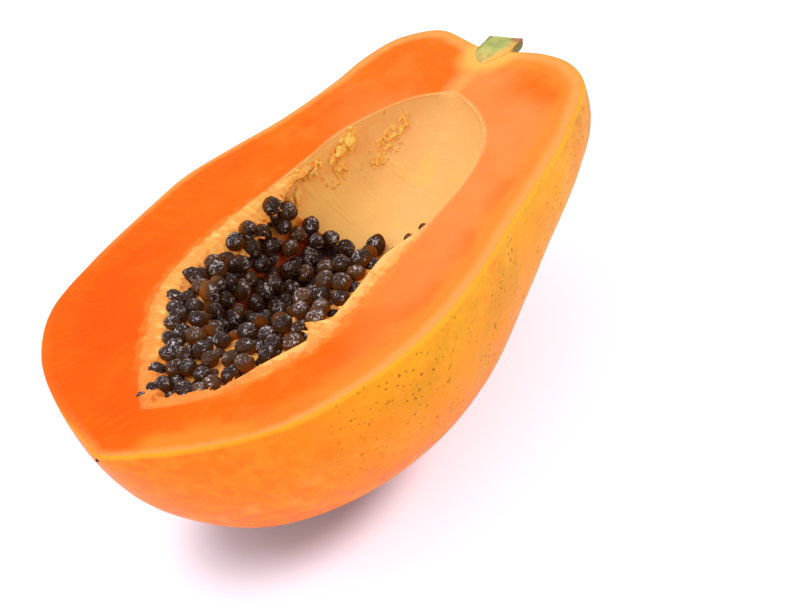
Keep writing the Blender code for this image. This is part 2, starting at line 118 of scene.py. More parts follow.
OUTLINE_PLACES = 1200  # places on an outline that distances are measured from

# Layers and fineness of the fruit's meshes
COLUMNS = 240  # corners round a rim
SKIN_RINGS = 56
HIDDEN_RINGS = 16
LINING_RINGS = 52
FACE_CUTS = 20
LEDGE_CUTS = 7
RIND = 0.0009  # thickness of the skin shell
OVERLAP = 0.0002  # how far one layer sinks into the next
KNIFE_EDGE = 0.0004  # how far the skin's outer edge lies below the cut face
KNIFE_MARKS = (  # name, grain, share of the height
    ("knife_waves", 0.014, 1.0),
    ("knife_ripples", 0.004, 0.3),
)
LIP_WIDTH = 0.0004  # rounded lip of the flesh where the hollow starts
LIP_DROP = 0.0005
LINING_DEPTH = 0.0012  # how far the flesh lies behind the face of the lining

# Seed bed and seeds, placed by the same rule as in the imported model
BED_TOP = 0.0040
BED_START = 0.0315
BED_ENDS = ((0.1195, 0.25, -0.45), (0.1280, 0.80, -0.30))  # x in the middle, and slopes with y and z
BED_HOLLOW_MIDDLE = Vector((0.122, 0.003, -0.001))
BED_HOLLOW_SIZE = Vector((0.060, 0.026, 0.033))
BED_COLUMNS = 96
BED_RINGS = 20
BED_SUNK = 0.0022  # how far the pulp lies below the level that the seeds are placed from
BED_VOXEL = 0.0009
DISH_SEGMENTS = 64
SEED_SIZE = Vector((0.0036, 0.0032, 0.0031))  # half lengths of one seed in its coat
SEED_GAP = 0.0003
SEED_GROWTH = (0.86, 1.08)
SEED_COAT = 1.02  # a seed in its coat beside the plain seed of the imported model
SEED_SCATTER = {
    "draw": 23, "tries": 16000, "rises": (0.0003, 0.0018), "spacing": 0.0056,
    "margin": SEED_SIZE.x + SEED_GAP,
}
FILLER_SCATTER = {  # lower seeds that show between the others
    "draw": 57, "tries": 14000, "rises": (-0.0030, -0.0008), "spacing": 0.0052,
    "margin": SEED_SIZE.z, "clearance": 0.0043,
}
FILLER_GROWTH = (0.75, 1.0)
EDGE_SEEDS_END = 0.1165
RIM_SEED_TOP = 0.0004  # how far these seeds stand above the cut face
RIM_SEED_OUT = Vector((0.3, -0.2, 1))  # the way they face
RIM_SEEDS = (  # place along the fruit and beside the core line, size
    (0.0278, 0.0054, 0.60), (0.0318, 0.0048, 0.80), (0.0363, -0.0110, 0.95), (0.0400, 0.0106, 1.05),
    (0.0431, 0.0050, 1.0), (0.0475, 0.0124, 1.0), (0.0542, 0.0170, 1.0), (0.0606, 0.0216, 0.95),
    (0.0675, 0.0264, 1.0), (0.0722, 0.0308, 1.0), (0.0838, 0.0322, 1.05),
)
LOOSE_SEEDS = {  # share of the way along the hollow's wall, angle down from the taller edge, size
    "seed_loose_1": (0.696, 72.0, 1.2),
    "seed_loose_2": (0.692, 87.0, 0.75),
    "seed_loose_3": (0.556, 176.0, 0.62),
    "seed_loose_4": (0.582, 177.0, 0.52),
}
SEED_SEGMENTS = 12
SEED_RINGS = 8
SEED_TURN_DRAW = 31
LOOSE_DRAW = 41

# Torn pulp beside the seeds
PULP_ROOT = 0.0010  # how far it starts back inside the flesh
PULP_THICKNESS = 0.0012  # below the sheet's upper face
PULP_COLUMNS = 320
PULP_ROWS = 24
PULP_VOXEL = 0.00033
PULP_DRAW = 11
PULP_REACH = {  # share of LENGTH and how far the pulp reaches over the seeds there
    "taller side": (
        (0.098, 0.0060), (0.17, 0.0090), (0.30, 0.0115), (0.42, 0.0125), (0.48, 0.0110),
        (0.54, 0.0080), (0.60, 0.0040), (0.66, 0.0012), (0.70, 0.0002),
    ),
    "lower side": (
        (0.098, 0.0060), (0.128, 0.0075), (0.141, 0.0055), (0.151, 0.0018), (0.172, 0.0045),
        (0.205, 0.0055), (0.235, 0.0026), (0.262, 0.0020), (0.283, 0.0080), (0.308, 0.0145),
        (0.323, 0.0095), (0.335, 0.0042), (0.357, 0.0048), (0.380, 0.0026), (0.405, 0.0030),
        (0.430, 0.0062), (0.453, 0.0036), (0.478, 0.0026), (0.530, 0.0018), (0.600, 0.0010),
        (0.650, 0.0003),
    ),
}
PULP_HEIGHTS = {  # distance from the hollow's outline and height of the pulp there
    "taller side": (
        (-0.0010, -0.0006), (0.0, 0.00005), (0.002, -0.0002), (0.0048, -0.0007), (0.0065, -0.0021),
        (0.009, -0.0040), (0.011, -0.0053), (0.015, -0.0078),
    ),
    "lower side": (
        (-0.0010, -0.0006), (0.0, 0.00005), (0.004, -0.0003), (0.009, -0.0008), (0.016, -0.0014),
    ),
}
PULP_END_DROP = 0.0014  # how far the pulp bends down at its ragged edge
PULP_TAIL_DROP = 0.0026  # how far it has sunk where it ends towards the stalk
PULP_SHEETS = (  # name, side, share along the wall where it ends
    ("pulp_taller", "taller side", 0.72),
    ("pulp_lower", "lower side", 0.62),
)
PULP_SHREDS = (  # count, first and last share along the wall, side, length
    (46, 0.06, 0.60, "taller side", 0.0030),
    (64, 0.05, 0.50, "lower side", 0.0026),
)

# Tufts of fibre on the lining
TUFT_VOXEL = 0.00028
TUFT_DRAW = 29
TUFT_ROWS = (  # count, share and angle down at both ends, spread of the angle, length, half width
    (9, 0.600, 9.0, 0.655, 13.0, 4.0, 0.0046, 0.0012),
    (8, 0.665, 3.5, 0.718, 7.0, 2.0, 0.0026, 0.0011),
    (14, 0.735, 16.0, 0.808, 8.0, 6.0, 0.0037, 0.0013),
    (8, 0.708, 20.0, 0.745, 28.0, 6.0, 0.0018, 0.0006),
    (40, 0.808, 33.0, 0.905, 22.0, 7.0, 0.0018, 0.0006),
    (20, 0.780, 33.0, 0.880, 37.0, 6.0, 0.0010, 0.0004),
)

# Stalk: share of LENGTH along its axis and radius, from its root in the flesh to its cut end
STALK_LINE_Y = -0.0027
STALK_PROFILE = (
    (0.9205, 0.0006), (0.932, 0.0036), (0.946, 0.0065), (0.961, 0.0074), (0.979, 0.0071),
    (0.997, 0.0073),
)
STALK_SIDES = 48
STALK_PROUD = 0.00015  # how far its cut face stands above the flesh
STALK_BARK = 0.0006
STALK_BEVEL = 0.00035
STALK_CORNER = 50  # degrees from which a corner is bevelled
STALK_VOXEL = 0.00022

# Blossom scar
SCAR_SIZE = (0.0009, 0.0008, 0.0011)
SCAR_TURN = (0.4, 0.3, 0)
SCAR_PLACE = (0.0013, 0.0012, -0.0024)

# Angles between faces, in degrees, from which an edge stays sharp
CREASE = 40
SOFT_EDGE = 75
NO_EDGE = 180

# Places that colours gather round, drawn at the tip
NOTCH_PLACE = Vector((0.953 * LENGTH, STALK_LINE_Y, 0))
BRUISE_PLACE = Vector((0.995 * LENGTH, STALK_LINE_Y - 0.0055, 0))
STREAK_PLACE = Vector((0.175, 0.004, -0.021))

# Stage
FLOOR_WIDTH = 6.0
FLOOR_GAP = 0.0001
# Painted shadow below the fruit: where it is centred and squeezed, and how much of the floor's glow is
# left inside it
FLOOR_SHADE = {"Location": (0.0244, -0.006, 0.0), "Scale": (0.8, 1.0, 1.0)}
FLOOR_SHADE_GLOW = 0.13
CAMERA_PLACE = Vector((-0.3527, -0.4249, 0.4247))
CAMERA_AIM = Vector((-0.0145, -0.0551, 0.0786))
CAMERA_ROLL = -20.86  # degrees
CAMERA_LENS = 90.0
CAMERA_SENSOR = 36.0
SOFTBOXES = (  # name, share of the power, size, place, aimed at the middle of the picture
    ("softbox_overhead", 1.0, 0.20, Vector((0.06, 0.26, 0.90))),
    ("softbox_side", 0.35, 0.16, Vector((-0.55, 0.35, 0.80))),
)
SOFTBOX_COLOUR = (0.93, 0.91, 1.0)


def tint(red, green, blue):
    """A display colour from 0 to 255 as shares of 1."""
    return (red / 255, green / 255, blue / 255)


def linear(colour):
    """A display colour as the light that a shader takes, with full alpha. A wire stays as it is."""
    if isinstance(colour, Wire):
        return colour
    return tuple(c / 12.92 if c <= 0.04045 else ((c + 0.055) / 1.055) ** 2.4 for c in colour) + (1.0,)


# Colours inside a finish, beside those that a user can change
BLACK = tint(0, 0, 0)
SKIN_PEACH = tint(255, 154, 62)
SKIN_SUNNY = tint(250, 165, 6)
SKIN_SHOULDER = tint(220, 130, 8)
# Painted highlight along the skin just below the cut
SKIN_RIM_HIGHLIGHT = tint(255, 184, 44)
FLESH_OUTER = tint(252, 122, 8)
FLESH_OUTER_LOWER = tint(252, 140, 44)
FLESH_RIDGE = tint(251, 88, 2)
FLESH_PATCH = tint(252, 112, 6)
FLESH_PATCH_LOWER = tint(253, 140, 56)
FLESH_GLOW = tint(251, 84, 0)
FLESH_STREAK = tint(253, 132, 16)
FLESH_WARM_EDGE = tint(253, 150, 60)
FLESH_NOTCH = tint(242, 188, 88)
# Painted shade on the wall below the taller rim
LINING_SHADE_BELOW_RIM = tint(252, 150, 66)
LINING_FIBRE = tint(255, 214, 134)
LINING_VEIN = tint(255, 204, 98)
LINING_STREAK = tint(255, 206, 92)
LINING_LIP = tint(254, 158, 82)
LINING_DOT = tint(222, 134, 50)
PULP_STREAK = tint(254, 152, 62)
# Partly the pulp's own pale yellow, partly painted highlights
PULP_PALE_AND_HIGHLIGHT = tint(255, 220, 128)
PULP_ROSY = tint(253, 150, 68)
PULP_AT_TIP = tint(254, 134, 44)
PULP_OUTER = tint(254, 144, 56)
# Painted shade in the pulp's crevices
PULP_CREVICE_SHADE = tint(240, 92, 16)
PULP_FLESH_SIDE = tint(253, 124, 42)
FIBRE = tint(255, 204, 98)
# Painted shade in the tufts' creases
FIBRE_CREASE_SHADE = tint(252, 150, 54)
BED_EDGE = tint(244, 120, 34)
# Painted shade of the bed, red lower down and nearly black deepest
BED_SHADE_RED = tint(186, 58, 14)
BED_SHADE_DEEP = tint(40, 14, 8)
BED_LUMP = tint(214, 66, 12)
STALK_GRAIN = tint(200, 198, 128)
STALK_GREENER = tint(150, 154, 86)
SCAR_CRUST = tint(110, 62, 30)


def setting(kind, name, description, default, **limits):
    """A property that a user can change."""
    return kind(name=name, description=description, min=0, default=default, **limits)


def colour_setting(name, description, *display):
    """A colour that a user can change."""
    kind = bpy.props.FloatVectorProperty
    return setting(kind, name, description, tint(*display), max=1, subtype="COLOR_GAMMA")


def length_setting(name, description, metres):
    """A length that a user can change."""
    return setting(bpy.props.FloatProperty, name, description, metres, unit="LENGTH", precision=5)


def share_setting(name, description, share):
    """A share between nothing and all that a user can change."""
    return setting(bpy.props.FloatProperty, name, description, share, max=1, subtype="FACTOR")


class PapayaFruitSettings(bpy.types.PropertyGroup):
    """Sizes and colours of the skin, the flesh and the lining."""

    swell: length_setting("Skin swell", "Height of the slow dents and swells of the skin", 0.0004)
    knife_waves: length_setting("Knife waves", "Height of the waves that the knife left", 0.0003)
    skin_edge: colour_setting("Skin at the rim", "Yellow of the skin just below the cut", 252, 166, 22)
    skin_middle: colour_setting("Skin", "Yellow orange of the skin half way down", 247, 146, 20)
    skin_low: colour_setting("Skin below", "Orange of the skin near the ground", 252, 113, 26)
    skin_blossom: colour_setting("Skin at the blossom", "Orange of the blossom end", 251, 108, 14)
    skin_mottle: colour_setting("Mottled skin", "Lighter mottling of the skin", 254, 152, 38)
    skin_olive: colour_setting("Olive blotches", "Olive yellow round the specks", 212, 144, 16)
    speck: colour_setting("Specks", "Olive brown of the small specks", 150, 98, 18)
    flesh_deep: colour_setting("Deep flesh", "Deepest orange, in the blossom half", 250, 83, 0)
    flesh_middle: colour_setting("Flesh", "Orange of most of the flesh", 251, 104, 6)
    # Partly the flesh's own peach, partly a painted reflection that pales the lower side and the stalk
    # end
    flesh_pale_and_reflection: colour_setting("Pale flesh", "Peach of the lower side and the stalk end", 252, 140, 70)
    flesh_shoulder: colour_setting("Shoulders", "Orange of both shoulders", 251, 106, 6)
    flesh_core: colour_setting("Core line", "Pale line from the hollow to the stalk", 252, 166, 82)
    flesh_band: colour_setting("Band under the skin", "Pale band inside the skin", 253, 164, 84)
    flesh_line: colour_setting("Line at the skin", "Yellow line where the skin is cut", 254, 172, 46)
    lining: colour_setting("Lining", "Pale satin lining of the hollow", 255, 202, 112)
    lining_rosy: colour_setting("Rosy lining", "Lining towards the stalk", 255, 193, 114)
    lining_warm: colour_setting("Warm lining", "Lining near the seeds", 255, 186, 92)
    pulp: colour_setting("Pulp", "Torn pulp beside the seeds", 255, 178, 84)
    # Painted shade on the pulp where it lies lower and in its creases
    pulp_shade: colour_setting("Pulp in the creases", "Pulp in its creases and below", 252, 134, 40)


class PapayaSeedSettings(bpy.types.PropertyGroup):
    """Sizes and colours of the seeds."""

    wrinkle: length_setting("Wrinkle depth", "Depth of the wrinkles under the clear coat", 0.0005)
    dark: colour_setting("Seed", "Dark brown of most seeds", 50, 22, 10)
    # Olive brown: the lighter seeds' own colour, and painted light where light passes through the coat at
    # the seed's sides
    olive: colour_setting("Olive side", "Olive brown where light passes through the coat", 122, 74, 30)
    # Painted light: amber on the seed's underside, where light from the pulp passes through the coat
    warm: colour_setting("Warm side", "Amber where the coat touches the pulp", 160, 76, 18)
    # Painted sheen: lighter brown painted on the folds of the crumpled coat on top, standing for the
    # light they reflect
    sheen: colour_setting("Crumpled coat", "Dusty brown of the crumpled coat on top", 176, 134, 112)
    # Painted glints on the brightest folds
    glint: colour_setting("Glints", "Lilac white of the brightest folds", 240, 226, 230)
    coat: share_setting("Clear coat", "Strength of the wet coat on top", 0.45)


class PapayaStalkSettings(bpy.types.PropertyGroup):
    """Colours of the stalk and of the blossom scar."""

    face: colour_setting("Cut stalk", "Pale green of the stalk's cut face", 192, 192, 108)
    root: colour_setting("Stalk root", "Yellow where the stalk meets the flesh", 246, 180, 84)
    bark: colour_setting("Stalk bark", "Green of the stalk's skin", 104, 116, 56)
    bruise: colour_setting("Stalk end", "Red brown at the stalk's cut end", 170, 104, 76)
    scar: colour_setting("Blossom scar", "Dark brown of the dry blossom scar", 40, 20, 12)


class PapayaStageSettings(bpy.types.PropertyGroup):
    """The floor and the lights."""

    floor: colour_setting("Floor", "Pale floor", 212, 213, 226)
    # Painted shadow: the floor's colour right below the fruit
    floor_shade: colour_setting("Floor below", "Floor right below the fruit", 184, 192, 208)
    floor_glow: share_setting("Floor glow", "Strength of the light from below the floor", 0.85)
    sky: share_setting("Fill light", "Strength of the light from all round", 0.92)
    softbox: setting(
        bpy.props.FloatProperty, "Softbox", "Power of the softbox overhead", 2.0, unit="POWER"
    )


def smooth_curve(points, length, width):
    """A function that gives the place at a share of the length of a smooth curve through points."""
    knots = np.array(points) * (length, width)
    chords = np.sqrt(np.linalg.norm(np.diff(knots, axis=0), axis=1))
    times = np.concatenate([[0], np.cumsum(chords)])
    slopes = np.gradient(knots, times, axis=0)
    dense = []
    for i in range(len(knots) - 1):
        span = times[i + 1] - times[i]
        for t in np.linspace(0, 1, CURVE_STEPS, endpoint=False):
            dense.append(
                (2 * t**3 - 3 * t**2 + 1) * knots[i]
                + (t**3 - 2 * t**2 + t) * span * slopes[i]
                + (3 * t**2 - 2 * t**3) * knots[i + 1]
                + (t**3 - t**2) * span * slopes[i + 1]
            )
    dense = np.array(dense + [knots[-1]])
    run = np.concatenate([[0], np.cumsum(np.linalg.norm(np.diff(dense, axis=0), axis=1))])

    def place(share):
        along = share * run[-1]
        return float(np.interp(along, run, dense[:, 0])), float(np.interp(along, run, dense[:, 1]))

    return place


SKIN = (
    smooth_curve(TALLER_EDGE, LENGTH, HALF_WIDTH),
    smooth_curve(LOWER_EDGE, LENGTH, HALF_WIDTH),
    smooth_curve(KEEL, LENGTH, DEPTH),
)
HOLLOW = (
    smooth_curve(HOLLOW_TALLER_EDGE, LENGTH, HOLLOW_WIDTH),
    smooth_curve(HOLLOW_LOWER_EDGE, LENGTH, HOLLOW_WIDTH),
    smooth_curve(HOLLOW_FLOOR, LENGTH, HOLLOW_DEPTH),
)
HOLLOW_WIDTHS = [np.array([curve(share) for share in np.linspace(0, 1, 101)]) for curve in HOLLOW]


def ramp(value, low, high):
    """0 below low, 1 above high, and a smooth step between them."""
    t = max(0.0, min(1.0, (value - low) / (high - low)))
    return t * t * (3 - 2 * t)


def core_y(x):
    """Sideways place of the core line, which drifts a little towards the lower side."""
    return -CORE_LEAN * (x / LENGTH) ** 2


def lobed(turn, x):
    """Swelling of the five ribs at an angle down from the taller edge. It is nothing at both edges."""
    grown = ramp(x / LENGTH, *SHOULDER_SPAN)
    height = LOBE_HEIGHT + (SHOULDER_LOBE_HEIGHT - LOBE_HEIGHT) * grown
    return 1 + height * math.cos(LOBE_COUNT * turn - math.pi / 2)


def half_form(direction, curves, lobes=True):
    """Point in a direction of a half form, given by the curves of its two edges and its keel."""
    share = math.acos(max(-1.0, min(1.0, -direction.x))) / math.pi
    turn = math.atan2(max(0.0, -direction.z), direction.y)
    taller, lower, keel = (curve(share) for curve in curves)
    edge = taller if direction.y >= 0 else lower
    down = math.sin(turn) ** 2
    x = edge[0] * (1 - down) + keel[0] * down
    swell = lobed(turn, x) if lobes else 1.0
    return Vector((x, core_y(x) + edge[1] * math.cos(turn) * swell, -keel[1] * math.sin(turn) * swell))


def skin_form(direction, inset=0.0):
    """Point of the skin, or of a layer that lies an inset below it."""
    point = half_form(direction, SKIN)
    if not inset:
        return point
    core_x = max(0.1 * LENGTH, min(0.85 * LENGTH, point.x))
    inward = Vector((core_x - point.x, core_y(point.x) - point.y, -point.z)).normalized()
    point += inward * inset
    point.z = max(point.z, GROUND + inset)
    return point


def wall_direction(share, degrees):
    """Direction to the place at a share along the wall and an angle down from the taller edge."""
    turn = math.radians(degrees)
    across = math.sin(math.pi * share)
    return Vector((-math.cos(math.pi * share), across * math.cos(turn), -across * math.sin(turn)))


def torn_share(x):
    """How torn the hollow's edge is beside a place along the fruit, from 0 to 1."""
    return ramp(x / LENGTH, *TORN_START) * (1 - ramp(x / LENGTH, *TORN_END))


def side_of(point):
    """Which side of the core line a point lies on."""
    return "taller side" if point.y > core_y(point.x) else "lower side"


def ledge_width(point):
    """Width of the torn ledge between flesh and seeds beside a point of the hollow's edge."""
    bare = LEDGE_WIDTHS["bare"]
    return bare + torn_share(point.x) * (LEDGE_WIDTHS[side_of(point)] - bare)


def drawn_in(point, width):
    """The point moved level towards the middle of the hollow by a width."""
    inward = Vector((HOLLOW_MIDDLE * LENGTH - point.x, core_y(point.x) - point.y, 0))
    if inward.length < width:
        return point
    return point + inward.normalized() * width


def hollow_edge(direction):
    """Point of the plain hollow, which for a level direction lies on its outline in the cut face."""
    return half_form(direction, HOLLOW, lobes=False)


def beside_edge(direction, inset, drop):
    """The point of the hollow's outline moved inwards and down."""
    return drawn_in(hollow_edge(direction), inset) - Vector((0, 0, drop))


def hollow_wall(direction, inset=0.0, soft=False):
    """Point of the hollow's wall, moved inwards. A soft wall drops lower where it is torn."""
    point = hollow_edge(direction)
    level = math.sqrt(max(0.0, 1 - direction.z**2))
    drop = BARE_DROP + torn_share(point.x) * (LEDGE_DROP - BARE_DROP) if soft else LEDGE_DROP
    point = drawn_in(point, level * (ledge_width(point) + inset))
    point.z = min(point.z, -drop) + inset * (1 - level)
    return point


def wall_normal(direction):
    """Which way the hollow's wall faces, towards the open middle."""
    point = hollow_wall(direction)
    return Vector((HOLLOW_MIDDLE * LENGTH - point.x, core_y(point.x) - point.y, -point.z)).normalized()


def pick(*pieces):
    """Selects these objects alone and makes the last one active."""
    bpy.ops.object.select_all(action="DESELECT")
    for piece in pieces:
        piece.select_set(True)
    bpy.context.view_layer.objects.active = pieces[-1]
    return pieces[-1]


def choose(piece, kind, test):
    """Goes into edit mode with the corners, edges or faces selected that pass a test."""
    pick(piece)
    bpy.ops.object.mode_set(mode="EDIT")
    bpy.ops.mesh.select_mode(type=kind)
    bpy.ops.mesh.select_all(action="DESELECT")
    bpy.ops.object.mode_set(mode="OBJECT")
    parts = {"VERT": piece.data.vertices, "EDGE": piece.data.edges, "FACE": piece.data.polygons}[kind]
    for part in parts:
        part.select = test(part)
    bpy.ops.object.mode_set(mode="EDIT")


def done():
    """Leaves edit mode."""
    bpy.ops.object.mode_set(mode="OBJECT")


def cut_away(place, normal):
    """In edit mode, cuts off what lies on the normal's side of a plane and closes the cut."""
    bpy.ops.mesh.select_all(action="SELECT")
    bpy.ops.mesh.bisect(
        plane_co=place, plane_no=normal, use_fill=True, clear_outer=True, threshold=1e-6
    )


def renamed(piece, name):
    """The piece under its own name."""
    piece.name = name
    piece.data.name = name
    return piece


def fused(name, *pieces):
    """One object from several."""
    pick(*pieces)
    bpy.ops.object.join()
    return renamed(bpy.context.object, name)


def with_modifier(piece, kind, **settings):
    """The piece with one modifier added and applied."""
    pick(piece)
    modifier = piece.modifiers.new(kind.lower(), kind)
    for name, value in settings.items():
        setattr(modifier, name, value)
    bpy.ops.object.modifier_apply(modifier=modifier.name)
    return piece


def roughened(piece, texture_name, grain, height, level=1.0, **settings):
    """The piece with a cloudy relief of a grain and a height. At level 1 it only goes inwards."""
    texture = bpy.data.textures.new(texture_name, "CLOUDS")
    texture.noise_scale = grain
    texture.noise_depth = 2
    relief = {"texture": texture, "strength": height, "mid_level": level, "texture_coords": "LOCAL"}
    return with_modifier(piece, "DISPLACE", **relief, **settings)


def grouped(piece, name, test):
    """Gives the corners that pass a test a vertex group, whose name it returns."""
    group = piece.vertex_groups.new(name=name)
    group.add([v.index for v in piece.data.vertices if test(v.co)], 1.0, "REPLACE")
    return name


def half_ball(name, columns, rings, shape):
    """The lower half of a ball, open at its rim, with each corner moved onto a form."""
    bpy.ops.mesh.primitive_uv_sphere_add(segments=columns, ring_count=2 * rings, radius=1)
    piece = renamed(bpy.context.object, name)
    choose(piece, "VERT", lambda v: v.co.z > 1e-4)
    bpy.ops.mesh.delete(type="VERT")
    done()
    for corner in piece.data.vertices:
        direction = corner.co.normalized()
        if abs(direction.z) < 1e-4:
            direction.z = 0
        corner.co = shape(direction.normalized())
    return piece


def loop_of_corners(name, columns, shape):
    """A closed loop of edges on a level form."""
    bpy.ops.mesh.primitive_circle_add(vertices=columns, radius=1)
    piece = renamed(bpy.context.object, name)
    for corner in piece.data.vertices:
        corner.co = shape(corner.co.normalized())
    return piece


def bridged(name, first, second, cuts=0):
    """Two open pieces joined and their open rims bridged."""
    piece = fused(name, second, first)
    pick(piece)
    bpy.ops.object.mode_set(mode="EDIT")
    bpy.ops.mesh.select_mode(type="EDGE")
    bpy.ops.mesh.select_all(action="DESELECT")
    bpy.ops.mesh.select_non_manifold()
    bpy.ops.mesh.bridge_edge_loops(number_cuts=cuts, interpolation="LINEAR")
    done()
    return piece


def facing_out(piece):
    """The piece with its doubles merged and every face pointing out."""
    choose(piece, "FACE", lambda face: True)
    bpy.ops.mesh.remove_doubles(threshold=1e-6)
    bpy.ops.mesh.normals_make_consistent(inside=False)
    done()
    return piece


def smooth(piece, degrees=CREASE):
    """The piece shaded smooth, apart from its sharp edges."""
    pick(piece)
    bpy.ops.object.shade_smooth_by_angle(angle=math.radians(degrees))
    return piece


def set_down(piece, material, slot, *nodes):
    """Moves a piece drawn at the tip to where the fruit lies, and gives it its finish and its body."""
    piece.location = TIP
    pick(piece)
    bpy.ops.object.transform_apply(location=True, rotation=True, scale=True)
    piece.data.materials.clear()
    piece.data.materials.append(material)
    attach(piece, "root")
    if nodes:
        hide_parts(*nodes)
    return piece


class Wire:
    """One socket of a material, whose sums and products add Math nodes."""

    def __init__(self, tree, socket):
        self.tree = tree
        self.socket = socket

    def make(self, kind, settings=None, sockets=None, output=0):
        """Any other node: its settings first, then the values or wires of its sockets."""
        node = self.tree.nodes.new(kind)
        for name, value in (settings or {}).items():
            setattr(node, name, value)
        for name, value in (sockets or {}).items():
            if isinstance(value, Wire):
                self.tree.links.new(value.socket, node.inputs[name])
            else:
                node.inputs[name].default_value = value
        return Wire(self.tree, node.outputs[output])

    def calculate(self, operation, first, second=0.0):
        return self.make("ShaderNodeMath", {"operation": operation}, {0: first, 1: second})

    def __add__(self, other):
        return self.calculate("ADD", self, other)

    def __sub__(self, other):
        return self.calculate("SUBTRACT", self, other)

    def __rsub__(self, other):
        return self.calculate("SUBTRACT", other, self)

    def __mul__(self, other):
        return self.calculate("MULTIPLY", self, other)

    def size(self):
        """The value without its sign."""
        return self.calculate("ABSOLUTE", self)

    def step(self, low, high, start=0.0, end=1.0):
        """Start below low, end above high and a smooth run between them."""
        ends = {"Value": self, "From Min": low, "From Max": high, "To Min": start, "To Max": end}
        return self.make("ShaderNodeMapRange", {"interpolation_type": "SMOOTHSTEP"}, ends)

    def fall(self, low, high, start=1.0, end=0.0):
        """A step that goes down."""
        return self.step(low, high, start, end)

    def between(self, below, above):
        """A colour mixed from two, with this wire as the share of the second."""
        sockets = {0: self, 6: linear(below), 7: linear(above)}
        return self.make("ShaderNodeMix", {"data_type": "RGBA"}, sockets, output=2)

    def under(self, *layers):
        """This colour with others laid over it in turn, each with its mask."""
        colour = self
        for mask, above in layers:
            colour = mask.between(colour, above)
        return colour

    def axis(self, letter):
        """One part of a vector."""
        return self.make("ShaderNodeSeparateXYZ", None, {0: self}, output="XYZ".index(letter))

    def stretched(self, x, y, z):
        """The place with its axes scaled, so that a pattern on it is drawn out."""
        return self.make("ShaderNodeMapping", None, {"Vector": self, "Scale": (x, y, z)})

    def cloud(self, grain, detail=3.0, roughness=0.55, distortion=0.0):
        """Cloudy values round a half, with a grain in metres."""
        shape = {"Scale": 1 / grain, "Detail": detail, "Roughness": roughness, "Distortion": distortion}
        return self.make("ShaderNodeTexNoise", None, {"Vector": self, **shape})

    def waver(self, grain, height, detail=3.0):
        """Cloudy values round nothing, over a height."""
        return (self.cloud(grain, detail) - 0.5) * height

    def cells(self, grain, output=0):
        """Distances from scattered points, or their colours, with their spacing in metres."""
        return self.make("ShaderNodeTexVoronoi", None, {"Vector": self, "Scale": 1 / grain}, output)


def shader_socket(made, name):
    """A socket of a material's shader, with underscores for the spaces in its name."""
    return made.node_tree.nodes["Principled BSDF"].inputs[name.replace("_", " ")]


def new_finish(name, **constants):
    """A material with its shader's constants set, and a wire of the Object coordinates."""
    made = bpy.data.materials.new(name)
    made.use_nodes = True
    for socket, value in constants.items():
        shader_socket(made, socket).default_value = value
    tree = made.node_tree
    return made, Wire(tree, tree.nodes.new("ShaderNodeTexCoord").outputs["Object"])


def feed(made, colour, roughness, height, depth, **others):
    """The material with its colour, roughness, relief and other wires linked. Depth is in metres."""
    relief = {"Strength": 1.0, "Distance": depth, "Height": height}
    bump = height.make("ShaderNodeBump", None, relief)
    wires = {"Base_Color": colour, "Roughness": roughness, "Normal": bump, **others}
    for name, wire in wires.items():
        wire.tree.links.new(wire.socket, shader_socket(made, name))
    return made


def attribute(place, name, output=2):
    """A wire of one of the mesh's own attributes: 2 is its value and 1 its vector."""
    return place.make("ShaderNodeAttribute", {"attribute_name": name}, None, output)


def spots(place, grain, size, chance):
    """A mask of scattered spots with ragged edges. Their size is a share of their spacing."""
    shape = place.cells(grain) + place.waver(grain / 5, 0.2, 2.0)
    drawn = place.cells(grain, output=1).axis("X")
    return shape.fall(size * 0.55, size) * drawn.step(chance, chance + 0.02)


def either(first, second):
    """The mask of both."""
    return first + second - first * second


def across_the_half(place):
    """Place along a line from the taller side of the blossom end to the lower side of the stalk end."""
    return place.axis("X") * 0.6 - place.axis("Y") * 0.8


def from_point(place, point, scale_x=1.0, scale_y=1.0):
    """Distance from a point drawn at the tip, measured with its level axes scaled."""
    where = TIP + point
    off_x = (place.axis("X") - where.x) * scale_x
    off_y = (place.axis("Y") - where.y) * scale_y
    off_z = place.axis("Z") - where.z
    squares = off_x * off_x + off_y * off_y + off_z * off_z
    return squares.calculate("POWER", squares, 0.5)


def pulp_border(place, beyond):
    """How much torn pulp there is beyond the hollow's outline, with a soft scalloped border."""
    scallops = place.waver(0.0042, 0.007, 2.0) + place.waver(0.0015, 0.002, 2.0)
    return (beyond + scallops).fall(-0.0008, 0.0010)


